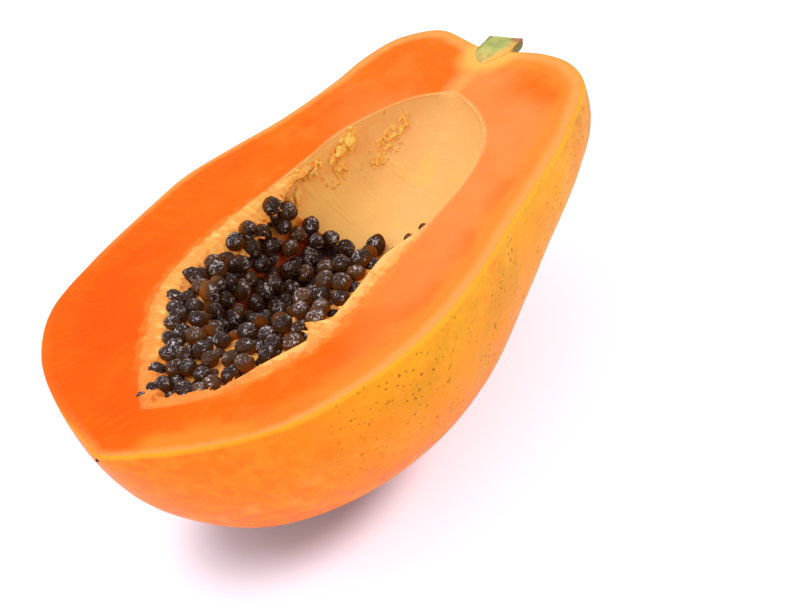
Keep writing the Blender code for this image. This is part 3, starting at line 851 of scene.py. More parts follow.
def skin_finish(look):
    """Waxy yellow orange skin with olive specks, deeper orange at the blossom end, and a painted
    highlight just below the cut.
    """
    made, place = new_finish("papaya_skin", Specular_IOR_Level=0.07)
    x = place.axis("X")
    below = HALF_HIGH.z - place.axis("Z")
    drop = below + place.waver(0.03, 0.022)
    blossom = (x + place.waver(0.025, 0.03)).fall(-0.095, -0.02)
    peach = place.cloud(0.010, 4.0, 0.65).step(0.50, 0.64) * drop.step(0.012, 0.03)
    blotch = place.cloud(0.02, 5.0, 0.65).step(0.47, 0.62) * blossom.fall(0.1, 0.7)
    sunny = x.step(0.0, 0.08) * below.fall(0.03, 0.055)
    shoulder = x.step(0.068, 0.084) * blotch.step(0.0, 0.5, 0.5, 1.0)
    crowd = place.cloud(0.013).step(0.36, 0.56) * blossom.fall(0.2, 0.95, 1.0, 0.1)
    drawn_out = place.stretched(0.6, 1.0, 0.8)
    fine = either(spots(drawn_out, 0.0014, 0.28, 0.45), spots(drawn_out, 0.0023, 0.20, 0.45))
    coarse = either(spots(drawn_out, 0.0036, 0.14, 0.45), spots(drawn_out, 0.0061, 0.095, 0.45))
    specks = either(fine * crowd, coarse * crowd.step(0.0, 0.6))
    specks = either(specks, spots(place, 0.0085, 0.06, 0.5))
    # Painted highlight: lighter yellow along the skin just below the cut, stronger towards the lower side
    # of the stalk end
    rim = (below + place.waver(0.004, 0.0012)).fall(0.0003, 0.0020)
    colour = drop.step(0.001, 0.02).between(look.skin_edge, look.skin_middle).under(
        (drop.step(0.02, 0.055), look.skin_low),
        (blossom * 0.85, look.skin_blossom),
        (place.cloud(0.006, 4.0).step(0.38, 0.66) * 0.45, look.skin_mottle),
        (peach * 0.5, SKIN_PEACH),
        (place.cloud(0.024).step(0.52, 0.72) * 0.45, look.skin_low),
        (blotch * 0.55, look.skin_olive),
        (sunny * 0.45, SKIN_SUNNY),
        (shoulder * 0.75, SKIN_SHOULDER),
        (spots(place, 0.0031, 0.42, 0.5) * crowd * 0.35, look.skin_olive),
        (specks * place.cloud(0.007, 2.0).step(0.35, 0.65, 0.45, 0.9), look.speck),
        (rim * across_the_half(place).step(-0.080, -0.050, 0.1, 0.6), SKIN_RIM_HIGHLIGHT),
    )
    roughness = place.cloud(0.006).step(0.3, 0.7, 0.36, 0.5) + specks * 0.2
    height = place.cloud(0.0012) * 0.4 + place.cloud(0.0045, 2.0) + specks * 0.3
    return feed(made, colour, roughness, height, 0.0003)


def flesh_finish(look):
    """Moist flesh: a yellow line and a pale band inside the skin, then orange that deepens inwards, paler
    towards the lower side of the stalk end partly by a painted reflection, and a painted highlight on the
    bare edge of the hollow.
    """
    made, place = new_finish("papaya_flesh", Specular_IOR_Level=0.03)
    from_skin = attribute(place, "from_skin")
    from_hollow = attribute(place, "from_hollow")
    torn = attribute(place, "torn")
    flow = attribute(place, "flow", output=1)
    x = place.axis("X")
    y = place.axis("Y")
    across = across_the_half(place)
    # Orange deepens towards the blossom half and pales towards the lower side of the stalk end: partly
    # the flesh's own colour, partly a painted reflection
    lean = across + place.waver(0.035, 0.05, 2.0)
    wander = place.waver(0.016, 0.006)

    taller_lobe = (x + wander * 2).step(0.074, 0.098) * (y + wander * 0.5).step(0.0005, 0.005)
    lower_lobe = (x + wander * 2).step(0.084, 0.102) * (y + wander).fall(-0.030, -0.015)
    core = (y + 0.0028 + wander * 0.3).size().fall(0.0008, 0.0042) * x.step(0.086, 0.096)
    patches = place.cloud(0.012, 4.0).step(0.46, 0.68)
    patch_colour = lean.step(-0.05, 0.02).between(FLESH_PATCH, FLESH_PATCH_LOWER)
    glow = place.cloud(0.024).step(0.5, 0.68) * lean.fall(-0.01, 0.04, 1.0, 0.25)

    inwards = from_skin + wander
    lower_side = y.fall(-0.016, -0.004)
    outer = inwards.fall(0.006, 0.017) * lower_side.step(0.0, 1.0, 0.2, 0.85)
    ridge = inwards.step(0.008, 0.0115) * inwards.fall(0.0115, 0.019)
    ridge = ridge * place.cloud(0.02, 2.0).step(0.40, 0.6)
    streaks = flow.stretched(0.5, 0.5, 0.07).cloud(0.0012).step(0.45, 0.75) * from_skin.fall(0.014, 0.022)
    shown = across.step(-0.080, -0.050, 0.12, 1.0)
    broad = across.step(-0.02, 0.05, 0.0, 0.0022)
    streaky = flow.stretched(0.5, 0.5, 0.1).waver(0.002, 0.002, 2.0)
    band = (from_skin - broad + wander * 0.3 + streaky).fall(0.0008, 0.0046)
    line = (from_skin + wander * 0.08).fall(0.0006, 0.0017)

    torn_edge = pulp_border(place, from_hollow)
    warm_edge = pulp_border(place, from_hollow - 0.0026) * (1 - torn_edge)
    # Along the bare edge of the hollow the lining's rosy colour is carried onto the flesh: partly its own
    # colour, partly a painted highlight on the edge
    bare_edge = (from_hollow + wander * 0.15).fall(0.0001, 0.0011)
    notch = from_point(place, NOTCH_PLACE, 1.0, 1.15) + place.waver(0.006, 0.006)
    colour = lean.step(-0.078, -0.015).between(look.flesh_deep, look.flesh_middle).under(
        (lean.step(0.0, 0.062), look.flesh_pale_and_reflection),
        (either(taller_lobe, lower_lobe) * 0.95, look.flesh_shoulder),
        (core * 0.75, look.flesh_core),
        (outer, lower_side.between(FLESH_OUTER, FLESH_OUTER_LOWER)),
        (ridge * 0.4, FLESH_RIDGE),
        (patches * 0.35, patch_colour),
        (glow * 0.4, FLESH_GLOW),
        (streaks * 0.16, FLESH_STREAK),
        (torn_edge * torn, look.pulp),
        (warm_edge * torn * 0.4, FLESH_WARM_EDGE),
        (bare_edge * (1 - torn) * 0.3, look.lining_rosy),
        (band * shown * 0.8, look.flesh_band),
        (line * shown * 0.7, look.flesh_line),
        (notch.fall(0.008, 0.018, 0.85), FLESH_NOTCH),
    )
    roughness = place.cloud(0.004).step(0.3, 0.7, 0.36, 0.52)
    height = streaks * 0.35 + place.cloud(0.0022, 4.0) + place.cloud(0.0007, 2.0) * 0.35
    return feed(made, colour, roughness, height, 0.0002)


def lining_finish(look):
    """Satin lining of the hollow, rosy towards the stalk, with faint yellow fibres, small spots and a
    band of painted shade below the taller rim.
    """
    made, place = new_finish("papaya_lining", Specular_IOR_Level=0.2)
    along = place.axis("X") + place.waver(0.012, 0.02)
    depth = HALF_HIGH.z - place.axis("Z")
    # Painted shade: an orange band on the wall a little below the taller rim, where the steep wall lies
    # in shade
    painted_wall_shade = depth.step(0.0005, 0.004) * depth.fall(0.008, 0.016) * place.axis("Y").step(0.004, 0.03)
    fibres = place.stretched(1.0, 0.3, 0.16).cloud(0.0022).step(0.52, 0.74)
    veins = place.stretched(1.0, 0.3, 0.14).cloud(0.0062, 2.0).step(0.60, 0.70)
    streak = from_point(place, STREAK_PLACE, 0.5, 1.5) + place.waver(0.004, 0.008)
    lip = depth.fall(0.0003, 0.0014) * place.cloud(0.006).step(0.35, 0.6, 0.3, 0.9)
    dots = either(spots(place, 0.0072, 0.10, 0.7), spots(place, 0.012, 0.07, 0.4))
    colour = along.step(0.03, 0.085).between(look.lining, look.lining_rosy).under(
        (along.fall(0.0, 0.03) * 0.6, look.lining_warm),
        (painted_wall_shade * 0.4 * place.cloud(0.006).step(0.3, 0.6), LINING_SHADE_BELOW_RIM),
        (fibres * 0.25, LINING_FIBRE),
        (veins * 0.5, LINING_VEIN),
        (streak.fall(0.002, 0.007, 0.5), LINING_STREAK),
        (lip, LINING_LIP),
        (dots * 0.5, LINING_DOT),
    )
    roughness = place.cloud(0.003).step(0.3, 0.7, 0.38, 0.54)
    height = fibres * 0.4 + veins * 0.8 + place.cloud(0.0016) * 0.5
    return feed(made, colour, roughness, height, 0.00025)


def pulp_finish(look):
    """Torn pulp, pale yellow and peach, with orange streaks that run to the seeds, pale patches that are
    partly painted highlights, and painted shade: orange lower down and red in its crevices.
    """
    made, place = new_finish("papaya_pulp", Specular_IOR_Level=0.12)
    from_edge = attribute(place, "from_edge")
    flow = attribute(place, "flow", output=1)
    x = place.axis("X")
    ragged = place.waver(0.0042, 0.005, 2.0)
    streaks = flow.stretched(1.0, 1.0, 0.22).cloud(0.0019).step(0.42, 0.62)
    # Pale yellow streaks: partly the pulp's own colour, partly painted highlights
    pale = flow.stretched(1.0, 1.0, 0.4).cloud(0.0030).step(0.50, 0.66)
    at_tip = (x + ragged).fall(TIP.x + 0.028, TIP.x + 0.064)
    outer = (from_edge + ragged * 0.5).fall(0.0010, 0.0050)
    outer = outer * x.step(TIP.x + 0.050, TIP.x + 0.095, 0.75, 0.15)
    # Painted shade: orange where the pulp lies lower, and red in its crevices down there
    low = (HALF_HIGH.z - place.axis("Z") + ragged * 0.4).step(0.0020, 0.0060)
    crevice = place.cloud(0.0026).step(0.56, 0.64) * from_edge.step(0.0025, 0.006)
    flesh_side = 1 - pulp_border(place, from_edge * -1)
    colour = (streaks * 0.55).between(look.pulp, PULP_STREAK).under(
        (pale * 0.75, PULP_PALE_AND_HIGHLIGHT),
        (place.cloud(0.007, 2.0).step(0.48, 0.66) * 0.6, PULP_ROSY),
        (at_tip * 0.8, PULP_AT_TIP),
        (outer, PULP_OUTER),
        (low * 0.45, look.pulp_shade),
        (crevice * low.step(0.0, 0.5, 0.35, 0.9), PULP_CREVICE_SHADE),
        (flesh_side * 0.85, PULP_FLESH_SIDE),
    )
    roughness = place.cloud(0.0012).step(0.3, 0.7, 0.34, 0.5)
    height = place.cloud(0.0016, 2.0) - streaks * 0.6 - crevice * 0.8
    return feed(made, colour, roughness, height, 0.0004)


def fibre_finish():
    """Tufts of fibre, bright pale yellow, with orange painted shade in cloudy patches that stand for
    their creases.
    """
    made, place = new_finish("papaya_fibre", Specular_IOR_Level=0.15)
    # Painted shade: orange patches standing for the shade in the tufts' creases
    crease = place.cloud(0.0019).fall(0.36, 0.54)
    colour = (crease * 0.55).between(FIBRE, FIBRE_CREASE_SHADE)
    roughness = place.cloud(0.0012).step(0.3, 0.7, 0.34, 0.5)
    return feed(made, colour, roughness, place.cloud(0.0012), 0.0002)


def bed_finish(look):
    """Wet pulp below the seeds: pale at its edge, orange a little lower, then painted shade that turns it
    red and nearly black deeper down.
    """
    made, place = new_finish("papaya_bed", Specular_IOR_Level=0.3)
    depth = HALF_HIGH.z - place.axis("Z") + place.waver(0.006, 0.008)
    depth = depth - place.axis("Y").step(0.016, 0.030) * 0.008
    lumps = place.cloud(0.0026)
    # Painted shade: the deeper the bed lies, the redder and then nearly black it is painted, less so on
    # the taller side
    colour = depth.step(0.0045, 0.0085).between(look.pulp, BED_EDGE).under(
        (depth.step(0.0085, 0.014), BED_SHADE_RED),
        (depth.step(0.013, 0.024), BED_SHADE_DEEP),
        (lumps.step(0.52, 0.66) * depth.step(0.004, 0.008) * 0.5, BED_LUMP),
    )
    return feed(made, colour, lumps.step(0.3, 0.7, 0.22, 0.45), lumps, 0.0006)


def seed_finish(look):
    """Dark seed in a clear wet coat, crumpled on top with a painted sheen on its folds and painted
    glints, and painted light through the coat: olive brown at its sides and amber below.
    """
    made, place = new_finish("papaya_seed", Specular_IOR_Level=0.02, Coat_Roughness=0.05, Coat_IOR=1.42)
    top = attribute(place, "seed_top")
    tone = attribute(place, "seed_tone")
    sums = {0: place, 1: attribute(place, "seed_shift", output=1)}
    own = place.make("ShaderNodeVectorMath", {"operation": "ADD"}, sums)
    crumpled = (top + own.waver(0.0026, 1.6)).step(0.0, 0.7)
    # Painted light through the clear coat: olive brown at the seed's sides and amber on its underside
    sides = (top + own.waver(0.0024, 0.9)).fall(0.0, 0.8)
    under = (top + own.waver(0.003, 0.6)).fall(-0.7, 0.15)
    # Painted sheen on the folds and painted glints, gathered on the crumpled top
    folds = (own.cloud(0.0015, 3.0, 0.6, 1.6) - 0.5).size().fall(0.0, 0.026)
    gathered = own.cloud(0.0032, 2.0).step(0.44, 0.58) * crumpled.step(0.35, 1.0)
    glints = own.cloud(0.0010, 2.0, 0.6, 1.2).step(0.53, 0.60) * gathered
    colour = tone.step(0.55, 1.0, 0.0, 0.6).between(look.dark, look.olive).under(
        (sides * tone.step(0.0, 1.0, 0.35, 1.0), look.olive),
        (under * tone.step(0.1, 0.9, 0.4, 1.0), look.warm),
        (folds * crumpled * 0.5, look.sheen),
        (glints * 0.9, look.glint),
    )
    roughness = own.cloud(0.0011).step(0.35, 0.65, 0.3, 0.6)
    height = folds + own.cloud(0.0010, 3.0, 0.6, 0.8) * 1.6
    height = height * crumpled.step(0.0, 1.0, 0.06, 1.0)
    coat = crumpled.step(0.0, 0.6) * look.coat
    return feed(made, colour, roughness, height, look.wrinkle, Coat_Weight=coat)


def stalk_finish(look):
    """Pale green cut stalk that yellows into the flesh, with green bark and a bruise at its end."""
    made, place = new_finish("papaya_stalk", Specular_IOR_Level=0.1)
    y = place.axis("Y")
    ragged = place.waver(0.004, 0.002)
    along = place.axis("X") - (TIP.x + 0.93 * LENGTH) + ragged
    grain = place.stretched(0.12, 1.0, 1.0).cloud(0.0009)
    lower = STALK_LINE_Y - y - along * 0.3 + ragged
    below = (HALF_HIGH.z - place.axis("Z")).step(-0.0002, 0.0005) * along.step(0.006, 0.010)
    bruise = (from_point(place, BRUISE_PLACE) + place.waver(0.0015, 0.003)).fall(0.0015, 0.0036)
    colour = along.step(-0.0005, 0.0080, 0.4, 1.0).between(look.root, look.face).under(
        (grain.step(0.45, 0.7) * 0.4, STALK_GRAIN),
        (place.cloud(0.004).step(0.45, 0.62) * 0.5, STALK_GREENER),
        (lower.step(-0.0005, 0.0032) * 0.9, look.root),
        ((y - STALK_LINE_Y).step(0.0045, 0.0074) * 0.6, look.bark),
        (below * 0.9, look.bark),
        (bruise * 0.8, look.bruise),
    )
    return feed(made, colour, grain.step(0.3, 0.7, 0.5, 0.68), grain, 0.0003)


def scar_finish(look):
    """Dry, nearly black scar."""
    made, place = new_finish("papaya_scar", Specular_IOR_Level=0.3)
    crust = place.cloud(0.0006, 4.0)
    colour = crust.step(0.45, 0.75).between(look.scar, SCAR_CRUST)
    return feed(made, colour, crust.step(0.2, 0.8, 0.5, 0.8), crust, 0.0003)


def floor_finish(look):
    """Matt pale floor, lit from below as on a light table, with a shadow painted below the fruit: there
    the glow fades and the colour turns a bluish grey.
    """
    made, place = new_finish("stage_floor", Specular_IOR_Level=0.0, Emission_Strength=look.floor_glow)
    centred = place.make("ShaderNodeMapping", None, {"Vector": place, **FLOOR_SHADE})
    away = centred.make("ShaderNodeVectorMath", {"operation": "LENGTH"}, {0: centred}, output=1)
    # Painted shadow: colour and glow fade near the fruit's resting spot
    colour = away.step(0.022, 0.050).between(look.floor_shade, look.floor)
    glow = away.step(0.022, 0.046, FLOOR_SHADE_GLOW, 1.0).between(BLACK, look.floor)
    roughness = place.cloud(0.2, 1.0).step(0.0, 1.0, 0.85, 0.95)
    return feed(made, colour, roughness, place.cloud(0.002), 0.00002, Emission_Color=glow)


def outline(form):
    """Places all round an outline on the cut face, with how far round each lies."""
    turns = np.linspace(0, 2 * math.pi, OUTLINE_PLACES + 1)
    places = [form(Vector((math.cos(turn), math.sin(turn), 0))) for turn in turns]
    run = np.concatenate([[0], np.cumsum([(b - a).length for a, b in zip(places, places[1:])])])
    tree = KDTree(len(places))
    for i, place in enumerate(places):
        tree.insert(place, i)
    tree.balance()
    return tree, run


def nearest(piece, form):
    """For every corner: the outline's nearest place, its distance, and a vector that flows round it."""
    tree, run = outline(form)
    girth = run[-1] / (2 * math.pi)
    near = []
    for corner in piece.data.vertices:
        edge, index, distance = tree.find(Vector((corner.co.x, corner.co.y, 0)))
        angle = 2 * math.pi * run[index] / run[-1]
        near.append((edge, distance, (girth * math.cos(angle), girth * math.sin(angle), distance)))
    return zip(*near)


def write_attribute(piece, name, values):
    """Stores a value or a vector for each corner."""
    table = np.array(values, np.float32)
    kind, key = ("FLOAT_VECTOR", "vector") if table.ndim == 2 else ("FLOAT", "value")
    piece.data.attributes.new(name, kind, "POINT").data.foreach_set(key, table.ravel())


def mark_pulp(piece):
    """Stores how far each corner of the torn pulp lies from the hollow's outline, and a flow."""
    _, from_edge, flow = nearest(piece, hollow_edge)
    write_attribute(piece, "from_edge", from_edge)
    write_attribute(piece, "flow", flow)


def mark_face(piece):
    """Stores each corner's distance from the skin and from the hollow, and a flow round the fruit."""
    _, from_skin, flow = nearest(piece, skin_form)
    edges, from_hollow, _ = nearest(piece, hollow_edge)
    write_attribute(piece, "from_skin", from_skin)
    write_attribute(piece, "from_hollow", from_hollow)
    write_attribute(piece, "torn", [torn_share(edge.x) for edge in edges])
    write_attribute(piece, "flow", flow)


def width_at(curve, x):
    """Width of the hollow's taller edge, lower edge or floor, 0 to 2, at a place along it."""
    return float(np.interp(x, HOLLOW_WIDTHS[curve][:, 0], HOLLOW_WIDTHS[curve][:, 1]))


def fits(place, margin):
    """Whether a place in the hollow is a margin clear of its wall, seen in the section nearer the end."""
    x = place.x - math.copysign(margin, HOLLOW_MIDDLE * LENGTH - place.x)
    across = place.y - core_y(place.x)
    width = width_at(0 if across > 0 else 1, x)
    width -= ledge_width(Vector((x, place.y, 0))) + margin
    depth = width_at(2, x) - margin
    return width > 0 and depth > 0 and math.hypot(across / width, place.z / depth) < 1


def bed_end(place):
    """How far along the seed bed reaches beside a place."""
    return min(x + slope_y * place.y + slope_z * place.z for x, slope_y, slope_z in BED_ENDS)


def drawn_spot(chance, attempt, rise):
    """A random place in the dished part of the bed or on its upper edge, and which way it faces."""
    size = BED_HOLLOW_SIZE - Vector((rise,) * 3)
    if attempt % 3:
        turn = chance.uniform(0, 2 * math.pi)
        height = -chance.random()
        level = math.sqrt(1 - height * height)
        out = Vector((level * math.cos(turn), level * math.sin(turn), height))
        place = BED_HOLLOW_MIDDLE + Vector(a * b for a, b in zip(out, size))
        return place, -Vector(a / b for a, b in zip(out, size)).normalized()
    x = chance.uniform(BED_START, EDGE_SEEDS_END)
    place = Vector((x, chance.uniform(-HOLLOW_WIDTH, HOLLOW_WIDTH), rise - BED_TOP))
    off = place - BED_HOLLOW_MIDDLE
    if math.hypot(off.x / size.x, off.y / size.y) < 1:
        return None, None
    return place, Vector((0, 0, 1))


def scattered(draw, tries, rises, margin, spacing, others=(), clearance=0.0):
    """Random places in the bed and which way each faces, spaced and clear of others."""
    chance = random.Random(draw)
    found = []
    for attempt in range(tries):
        place, out = drawn_spot(chance, attempt, chance.uniform(*rises))
        if place is None or place.z > rises[1] - BED_TOP:
            continue
        if not BED_START < place.x < bed_end(place) or not fits(place, margin):
            continue
        if any((place - other).length < clearance for other, _ in others):
            continue
        if all((place - other).length > spacing for other, _ in found):
            found.append((place, out))
    return found


def seed_turn(chance, out):
    """A seed lies with its long side along the bed, turned at random."""
    across = out.orthogonal().normalized()
    along = Matrix.Rotation(chance.uniform(0, 2 * math.pi), 3, out) @ across
    along = (along + out * chance.uniform(-0.5, 0.5)).normalized()
    side = out.cross(along).normalized()
    return Matrix((along, side, along.cross(side))).transposed().to_4x4()


def seed_model():
    """One seed of unit half lengths: an egg, blunt at one end and drawn out a little at the other."""
    bpy.ops.mesh.primitive_uv_sphere_add(
        segments=SEED_SEGMENTS, ring_count=SEED_RINGS, radius=1, rotation=(0, math.pi / 2, 0)
    )
    seed = renamed(bpy.context.object, "seed_model")
    bpy.ops.object.transform_apply(location=True, rotation=True, scale=True)
    choose(seed, "VERT", lambda v: v.co.x > 0.55)
    bpy.ops.transform.resize(value=(1.0, 0.9, 0.9), center_override=(0.5, 0, 0))
    done()
    choose(seed, "VERT", lambda v: v.co.x > 0.9)
    bpy.ops.transform.translate(value=(0.05, 0, 0))
    done()
    return roughened(seed, "seed_dents", 0.9, 0.22, 0.55)


def under_pulp(place, tree):
    """Whether the lower side's pulp covers a seed."""
    edge, _, distance = tree.find(Vector((place.x, place.y, 0)))
    return side_of(place) == "lower side" and distance < pulp_reach(edge) - SEED_SIZE.x


def placed_seed(model, place, turn, out, growth, tone):
    """A copy of the seed model in its place, with what its finish reads."""
    seed = bpy.data.objects.new("seed", model.data.copy())
    bpy.context.scene.collection.objects.link(seed)
    facing = (turn.to_3x3().transposed() @ out).normalized()
    corners = seed.data.vertices
    write_attribute(seed, "seed_top", [corner.co.normalized().dot(facing) for corner in corners])
    write_attribute(seed, "seed_tone", [tone] * len(corners))
    write_attribute(seed, "seed_shift", [[tone * 0.37, tone * 0.61, tone * 0.23]] * len(corners))
    shape = Matrix.Diagonal((*(SEED_SIZE * growth), 1))
    seed.data.transform(Matrix.Translation(place) @ turn @ shape)
    return seed


class PAPAYA_OT_rind(bpy.types.Operator):
    """Skin of the half, a thin closed shell that rests on its flat spot"""

    bl_idname = "papaya.rind"
    bl_label = "Skin"

    def execute(self, context):
        look = context.scene.papaya_fruit

        def outer(direction):
            point = skin_form(direction)
            if direction.z == 0:
                point.z = -KNIFE_EDGE
            return point

        skin = half_ball("rind", COLUMNS, SKIN_RINGS, outer)
        roughened(skin, "rind_swell", 0.028, look.swell)
        roughened(skin, "rind_dimples", 0.006, look.swell / 5)
        choose(skin, "VERT", lambda v: True)
        cut_away((0, 0, GROUND), (0, 0, -1))
        done()
        inner = half_ball("rind_inside", COLUMNS, HIDDEN_RINGS, lambda d: skin_form(d, RIND))
        skin = facing_out(bridged("rind", skin, inner))
        set_down(smooth(skin), skin_finish(look), "skin", "papaya_half")
        return {"FINISHED"}


class PAPAYA_OT_flesh(bpy.types.Operator):
    """Flesh of the half with its cut face, inside the skin and round the hollow"""

    bl_idname = "papaya.flesh"
    bl_label = "Flesh"

    def execute(self, context):
        look = context.scene.papaya_fruit
        outside = half_ball("flesh", COLUMNS, HIDDEN_RINGS, lambda d: skin_form(d, RIND - OVERLAP))
        edge = loop_of_corners("flesh_edge", COLUMNS, hollow_edge)
        flesh = bridged("flesh", outside, edge, FACE_CUTS)
        lip = loop_of_corners("flesh_lip", COLUMNS, lambda d: beside_edge(d, LIP_WIDTH, LIP_DROP))
        flesh = bridged("flesh", flesh, lip)
        hollow = half_ball("flesh_hollow", COLUMNS, HIDDEN_RINGS, lambda d: hollow_wall(d, -LINING_DEPTH))
        flesh = facing_out(bridged("flesh", flesh, hollow))
        face = grouped(flesh, "cut_face", lambda place: place.z > -1e-5)
        for name, grain, share in KNIFE_MARKS:
            roughened(flesh, name, grain, look.knife_waves * share, vertex_group=face, direction="Z")
        mark_face(flesh)
        set_down(smooth(flesh, SOFT_EDGE), flesh_finish(look), "flesh", "papaya_half")
        return {"FINISHED"}


class PAPAYA_OT_lining(bpy.types.Operator):
    """Satin lining of the seed hollow, with the torn ledge beside the seeds"""

    bl_idname = "papaya.lining"
    bl_label = "Lining"

    def execute(self, context):
        look = context.scene.papaya_fruit
        inside = half_ball("hollow_lining", COLUMNS, LINING_RINGS, lambda d: hollow_wall(d, soft=True))
        edge = loop_of_corners("lining_edge", COLUMNS, lambda d: beside_edge(d, -LIP_WIDTH, LIP_DROP / 2))
        lining = bridged("hollow_lining", inside, edge, LEDGE_CUTS)
        behind = -1.5 * LINING_DEPTH
        back = half_ball("lining_back", COLUMNS, HIDDEN_RINGS, lambda d: hollow_wall(d, behind))
        lining = facing_out(bridged("hollow_lining", lining, back))
        grouped(lining, "wall", lambda place: place.z < -2 * LEDGE_DROP)
        roughened(lining, "wall_swell", 0.011, 0.0010, 0.5, vertex_group="wall")
        roughened(lining, "wall_grain", 0.0032, 0.0003, 0.5, vertex_group="wall")
        set_down(smooth(lining, SOFT_EDGE), lining_finish(look), "lining", "papaya_half")
        return {"FINISHED"}


def shred(place, along, out, size):
    """A small tapered tongue of tissue that starts at a place and points along a direction."""
    length, width, height = size
    bpy.ops.mesh.primitive_cone_add(vertices=8, radius1=1.0, radius2=0.3, depth=2.0)
    tongue = renamed(bpy.context.object, "shred")
    across = out.cross(along).normalized()
    up = along.cross(across).normalized()
    turn = Matrix((across, up, along)).transposed().to_4x4()
    shape = Matrix.Diagonal((width, height, length * 0.5, 1))
    tongue.data.transform(Matrix.Translation(place + along * length * 0.5) @ turn @ shape)
    return tongue


def grown_together(name, pieces, voxel, grain, height):
    """One organic body from many overlapping pieces."""
    body = fused(name, *pieces)
    with_modifier(body, "REMESH", mode="VOXEL", voxel_size=voxel, use_smooth_shade=True)
    with_modifier(body, "SMOOTH", factor=0.5, iterations=3)
    return roughened(body, name + "_grain", grain, height, 0.5)


def wavering(point, grain, seed):
    """A slow wavering between -1 and 1 over the fruit, with a grain in metres."""
    return noise.noise(Vector((point.x / grain, point.y / grain, seed)))


def read_off(table, value):
    """The second number of a table's rows at a value between their first numbers."""
    return float(np.interp(value, *zip(*table)))


def edge_and_inward(share, side):
    """A place on the hollow's outline and the level direction from it into the hollow."""
    degrees, hand = (0.0, 1) if side == "taller side" else (180.0, -1)
    before, edge, after = (hollow_edge(wall_direction(share + off, degrees)) for off in (-0.01, 0, 0.01))
    along = after - before
    return edge, Vector((hand * along.y, -hand * along.x, 0)).normalized()


def pulp_reach(edge):
    """How far the torn pulp reaches from a place on the hollow's outline towards the seeds."""
    ragged = 1 + 0.16 * wavering(edge, 0.0065, 3.0) + 0.34 * wavering(edge, 0.0022, 8.0)
    return read_off(PULP_REACH[side_of(edge)], edge.x / LENGTH) * ragged


def pulp_sheet(name, side, last):
    """Torn pulp along one side of the hollow: flush with the flesh, softly ridged, ragged within."""
    bpy.ops.mesh.primitive_grid_add(x_subdivisions=PULP_COLUMNS, y_subdivisions=PULP_ROWS, size=2)
    sheet = renamed(bpy.context.object, name)
    for corner in sheet.data.vertices:
        along = (corner.co.x + 1) / 2
        across = (corner.co.y + 1) / 2
        edge, inward = edge_and_inward(last * along, side)
        off = across * (pulp_reach(edge) + PULP_ROOT) - PULP_ROOT
        place = edge + inward * off
        height = read_off(PULP_HEIGHTS[side], off) - PULP_END_DROP * ramp(across, 0.75, 1.0)
        height -= PULP_TAIL_DROP * ramp(along, 0.84, 1.0)
        ridges = 0.0003 * wavering(edge, 0.0024, 5.0) + 0.0004 * wavering(place, 0.0021, 6.0)
        corner.co = place + Vector((0, 0, height + ridges * ramp(off, 0.0, 0.002)))
    down = 1.0 if side == "taller side" else -1.0
    return with_modifier(sheet, "SOLIDIFY", thickness=PULP_THICKNESS, offset=down)


class PAPAYA_OT_torn_fringe(bpy.types.Operator):
    """Torn pulp along both edges of the hollow, beside the seeds"""

    bl_idname = "papaya.torn_fringe"
    bl_label = "Torn pulp"

    def execute(self, context):
        look = context.scene.papaya_fruit
        chance = random.Random(PULP_DRAW)
        pieces = [pulp_sheet(name, side, last) for name, side, last in PULP_SHEETS]
        for count, first, last, side, length in PULP_SHREDS:
            for i in range(count):
                share = first + (last - first) * (i + chance.uniform(-0.5, 0.5)) / (count - 1)
                edge, inward = edge_and_inward(share, side)
                off = pulp_reach(edge) * chance.uniform(0.6, 0.95)
                place = edge + inward * off
                place.z = read_off(PULP_HEIGHTS[side], off) - chance.uniform(0.0004, 0.0012)
                swing = Matrix.Rotation(chance.uniform(-0.6, 0.6), 3, "Z")
                along = (swing @ inward + Vector((0, 0, chance.uniform(-0.6, 0.1)))).normalized()
                size = (length * chance.uniform(0.6, 1.3), chance.uniform(0.0005, 0.0011), 0.0005)
                pieces.append(shred(place, along, Vector((0, 0, 1)), size))
        fringe = grown_together("torn_fringe", pieces, PULP_VOXEL, 0.0016, 0.00022)
        mark_pulp(fringe)
        set_down(fringe, pulp_finish(look), "lining", "papaya_half")
        return {"FINISHED"}


class PAPAYA_OT_tufts(bpy.types.Operator):
    """Raised tufts of fibre on the bare lining"""

    bl_idname = "papaya.tufts"
    bl_label = "Fibre tufts"

    def execute(self, context):
        chance = random.Random(TUFT_DRAW)
        shreds = []
        for count, first, first_angle, last, last_angle, spread, length, half_width in TUFT_ROWS:
            for i in range(count):
                step = (i + chance.uniform(-0.4, 0.4)) / (count - 1)
                share = first + (last - first) * step
                angle = first_angle + (last_angle - first_angle) * step + chance.uniform(-spread, spread)
                place = hollow_wall(wall_direction(share, angle), soft=True)
                out = wall_normal(wall_direction(share, angle))
                lower = wall_direction(share + chance.uniform(-0.06, 0.02), angle + 9)
                down = (hollow_wall(lower, soft=True) - place).normalized()
                for _ in range(chance.choice((2, 3, 3, 4))):
                    lean = Vector(chance.uniform(-0.45, 0.45) for _ in range(3))
                    shift = Vector(chance.uniform(-half_width, half_width) for _ in range(3))
                    along = (down + lean + out * chance.uniform(0.05, 0.4)).normalized()
                    grown = chance.uniform(0.6, 1.2)
                    size = (length * grown, half_width * grown, half_width * chance.uniform(0.7, 1.0))
                    shreds.append(shred(place + shift, along, out, size))
        tufts = grown_together("fibre_tufts", shreds, TUFT_VOXEL, 0.0014, 0.0002)
        set_down(tufts, fibre_finish(), "lining", "papaya_half")
        return {"FINISHED"}


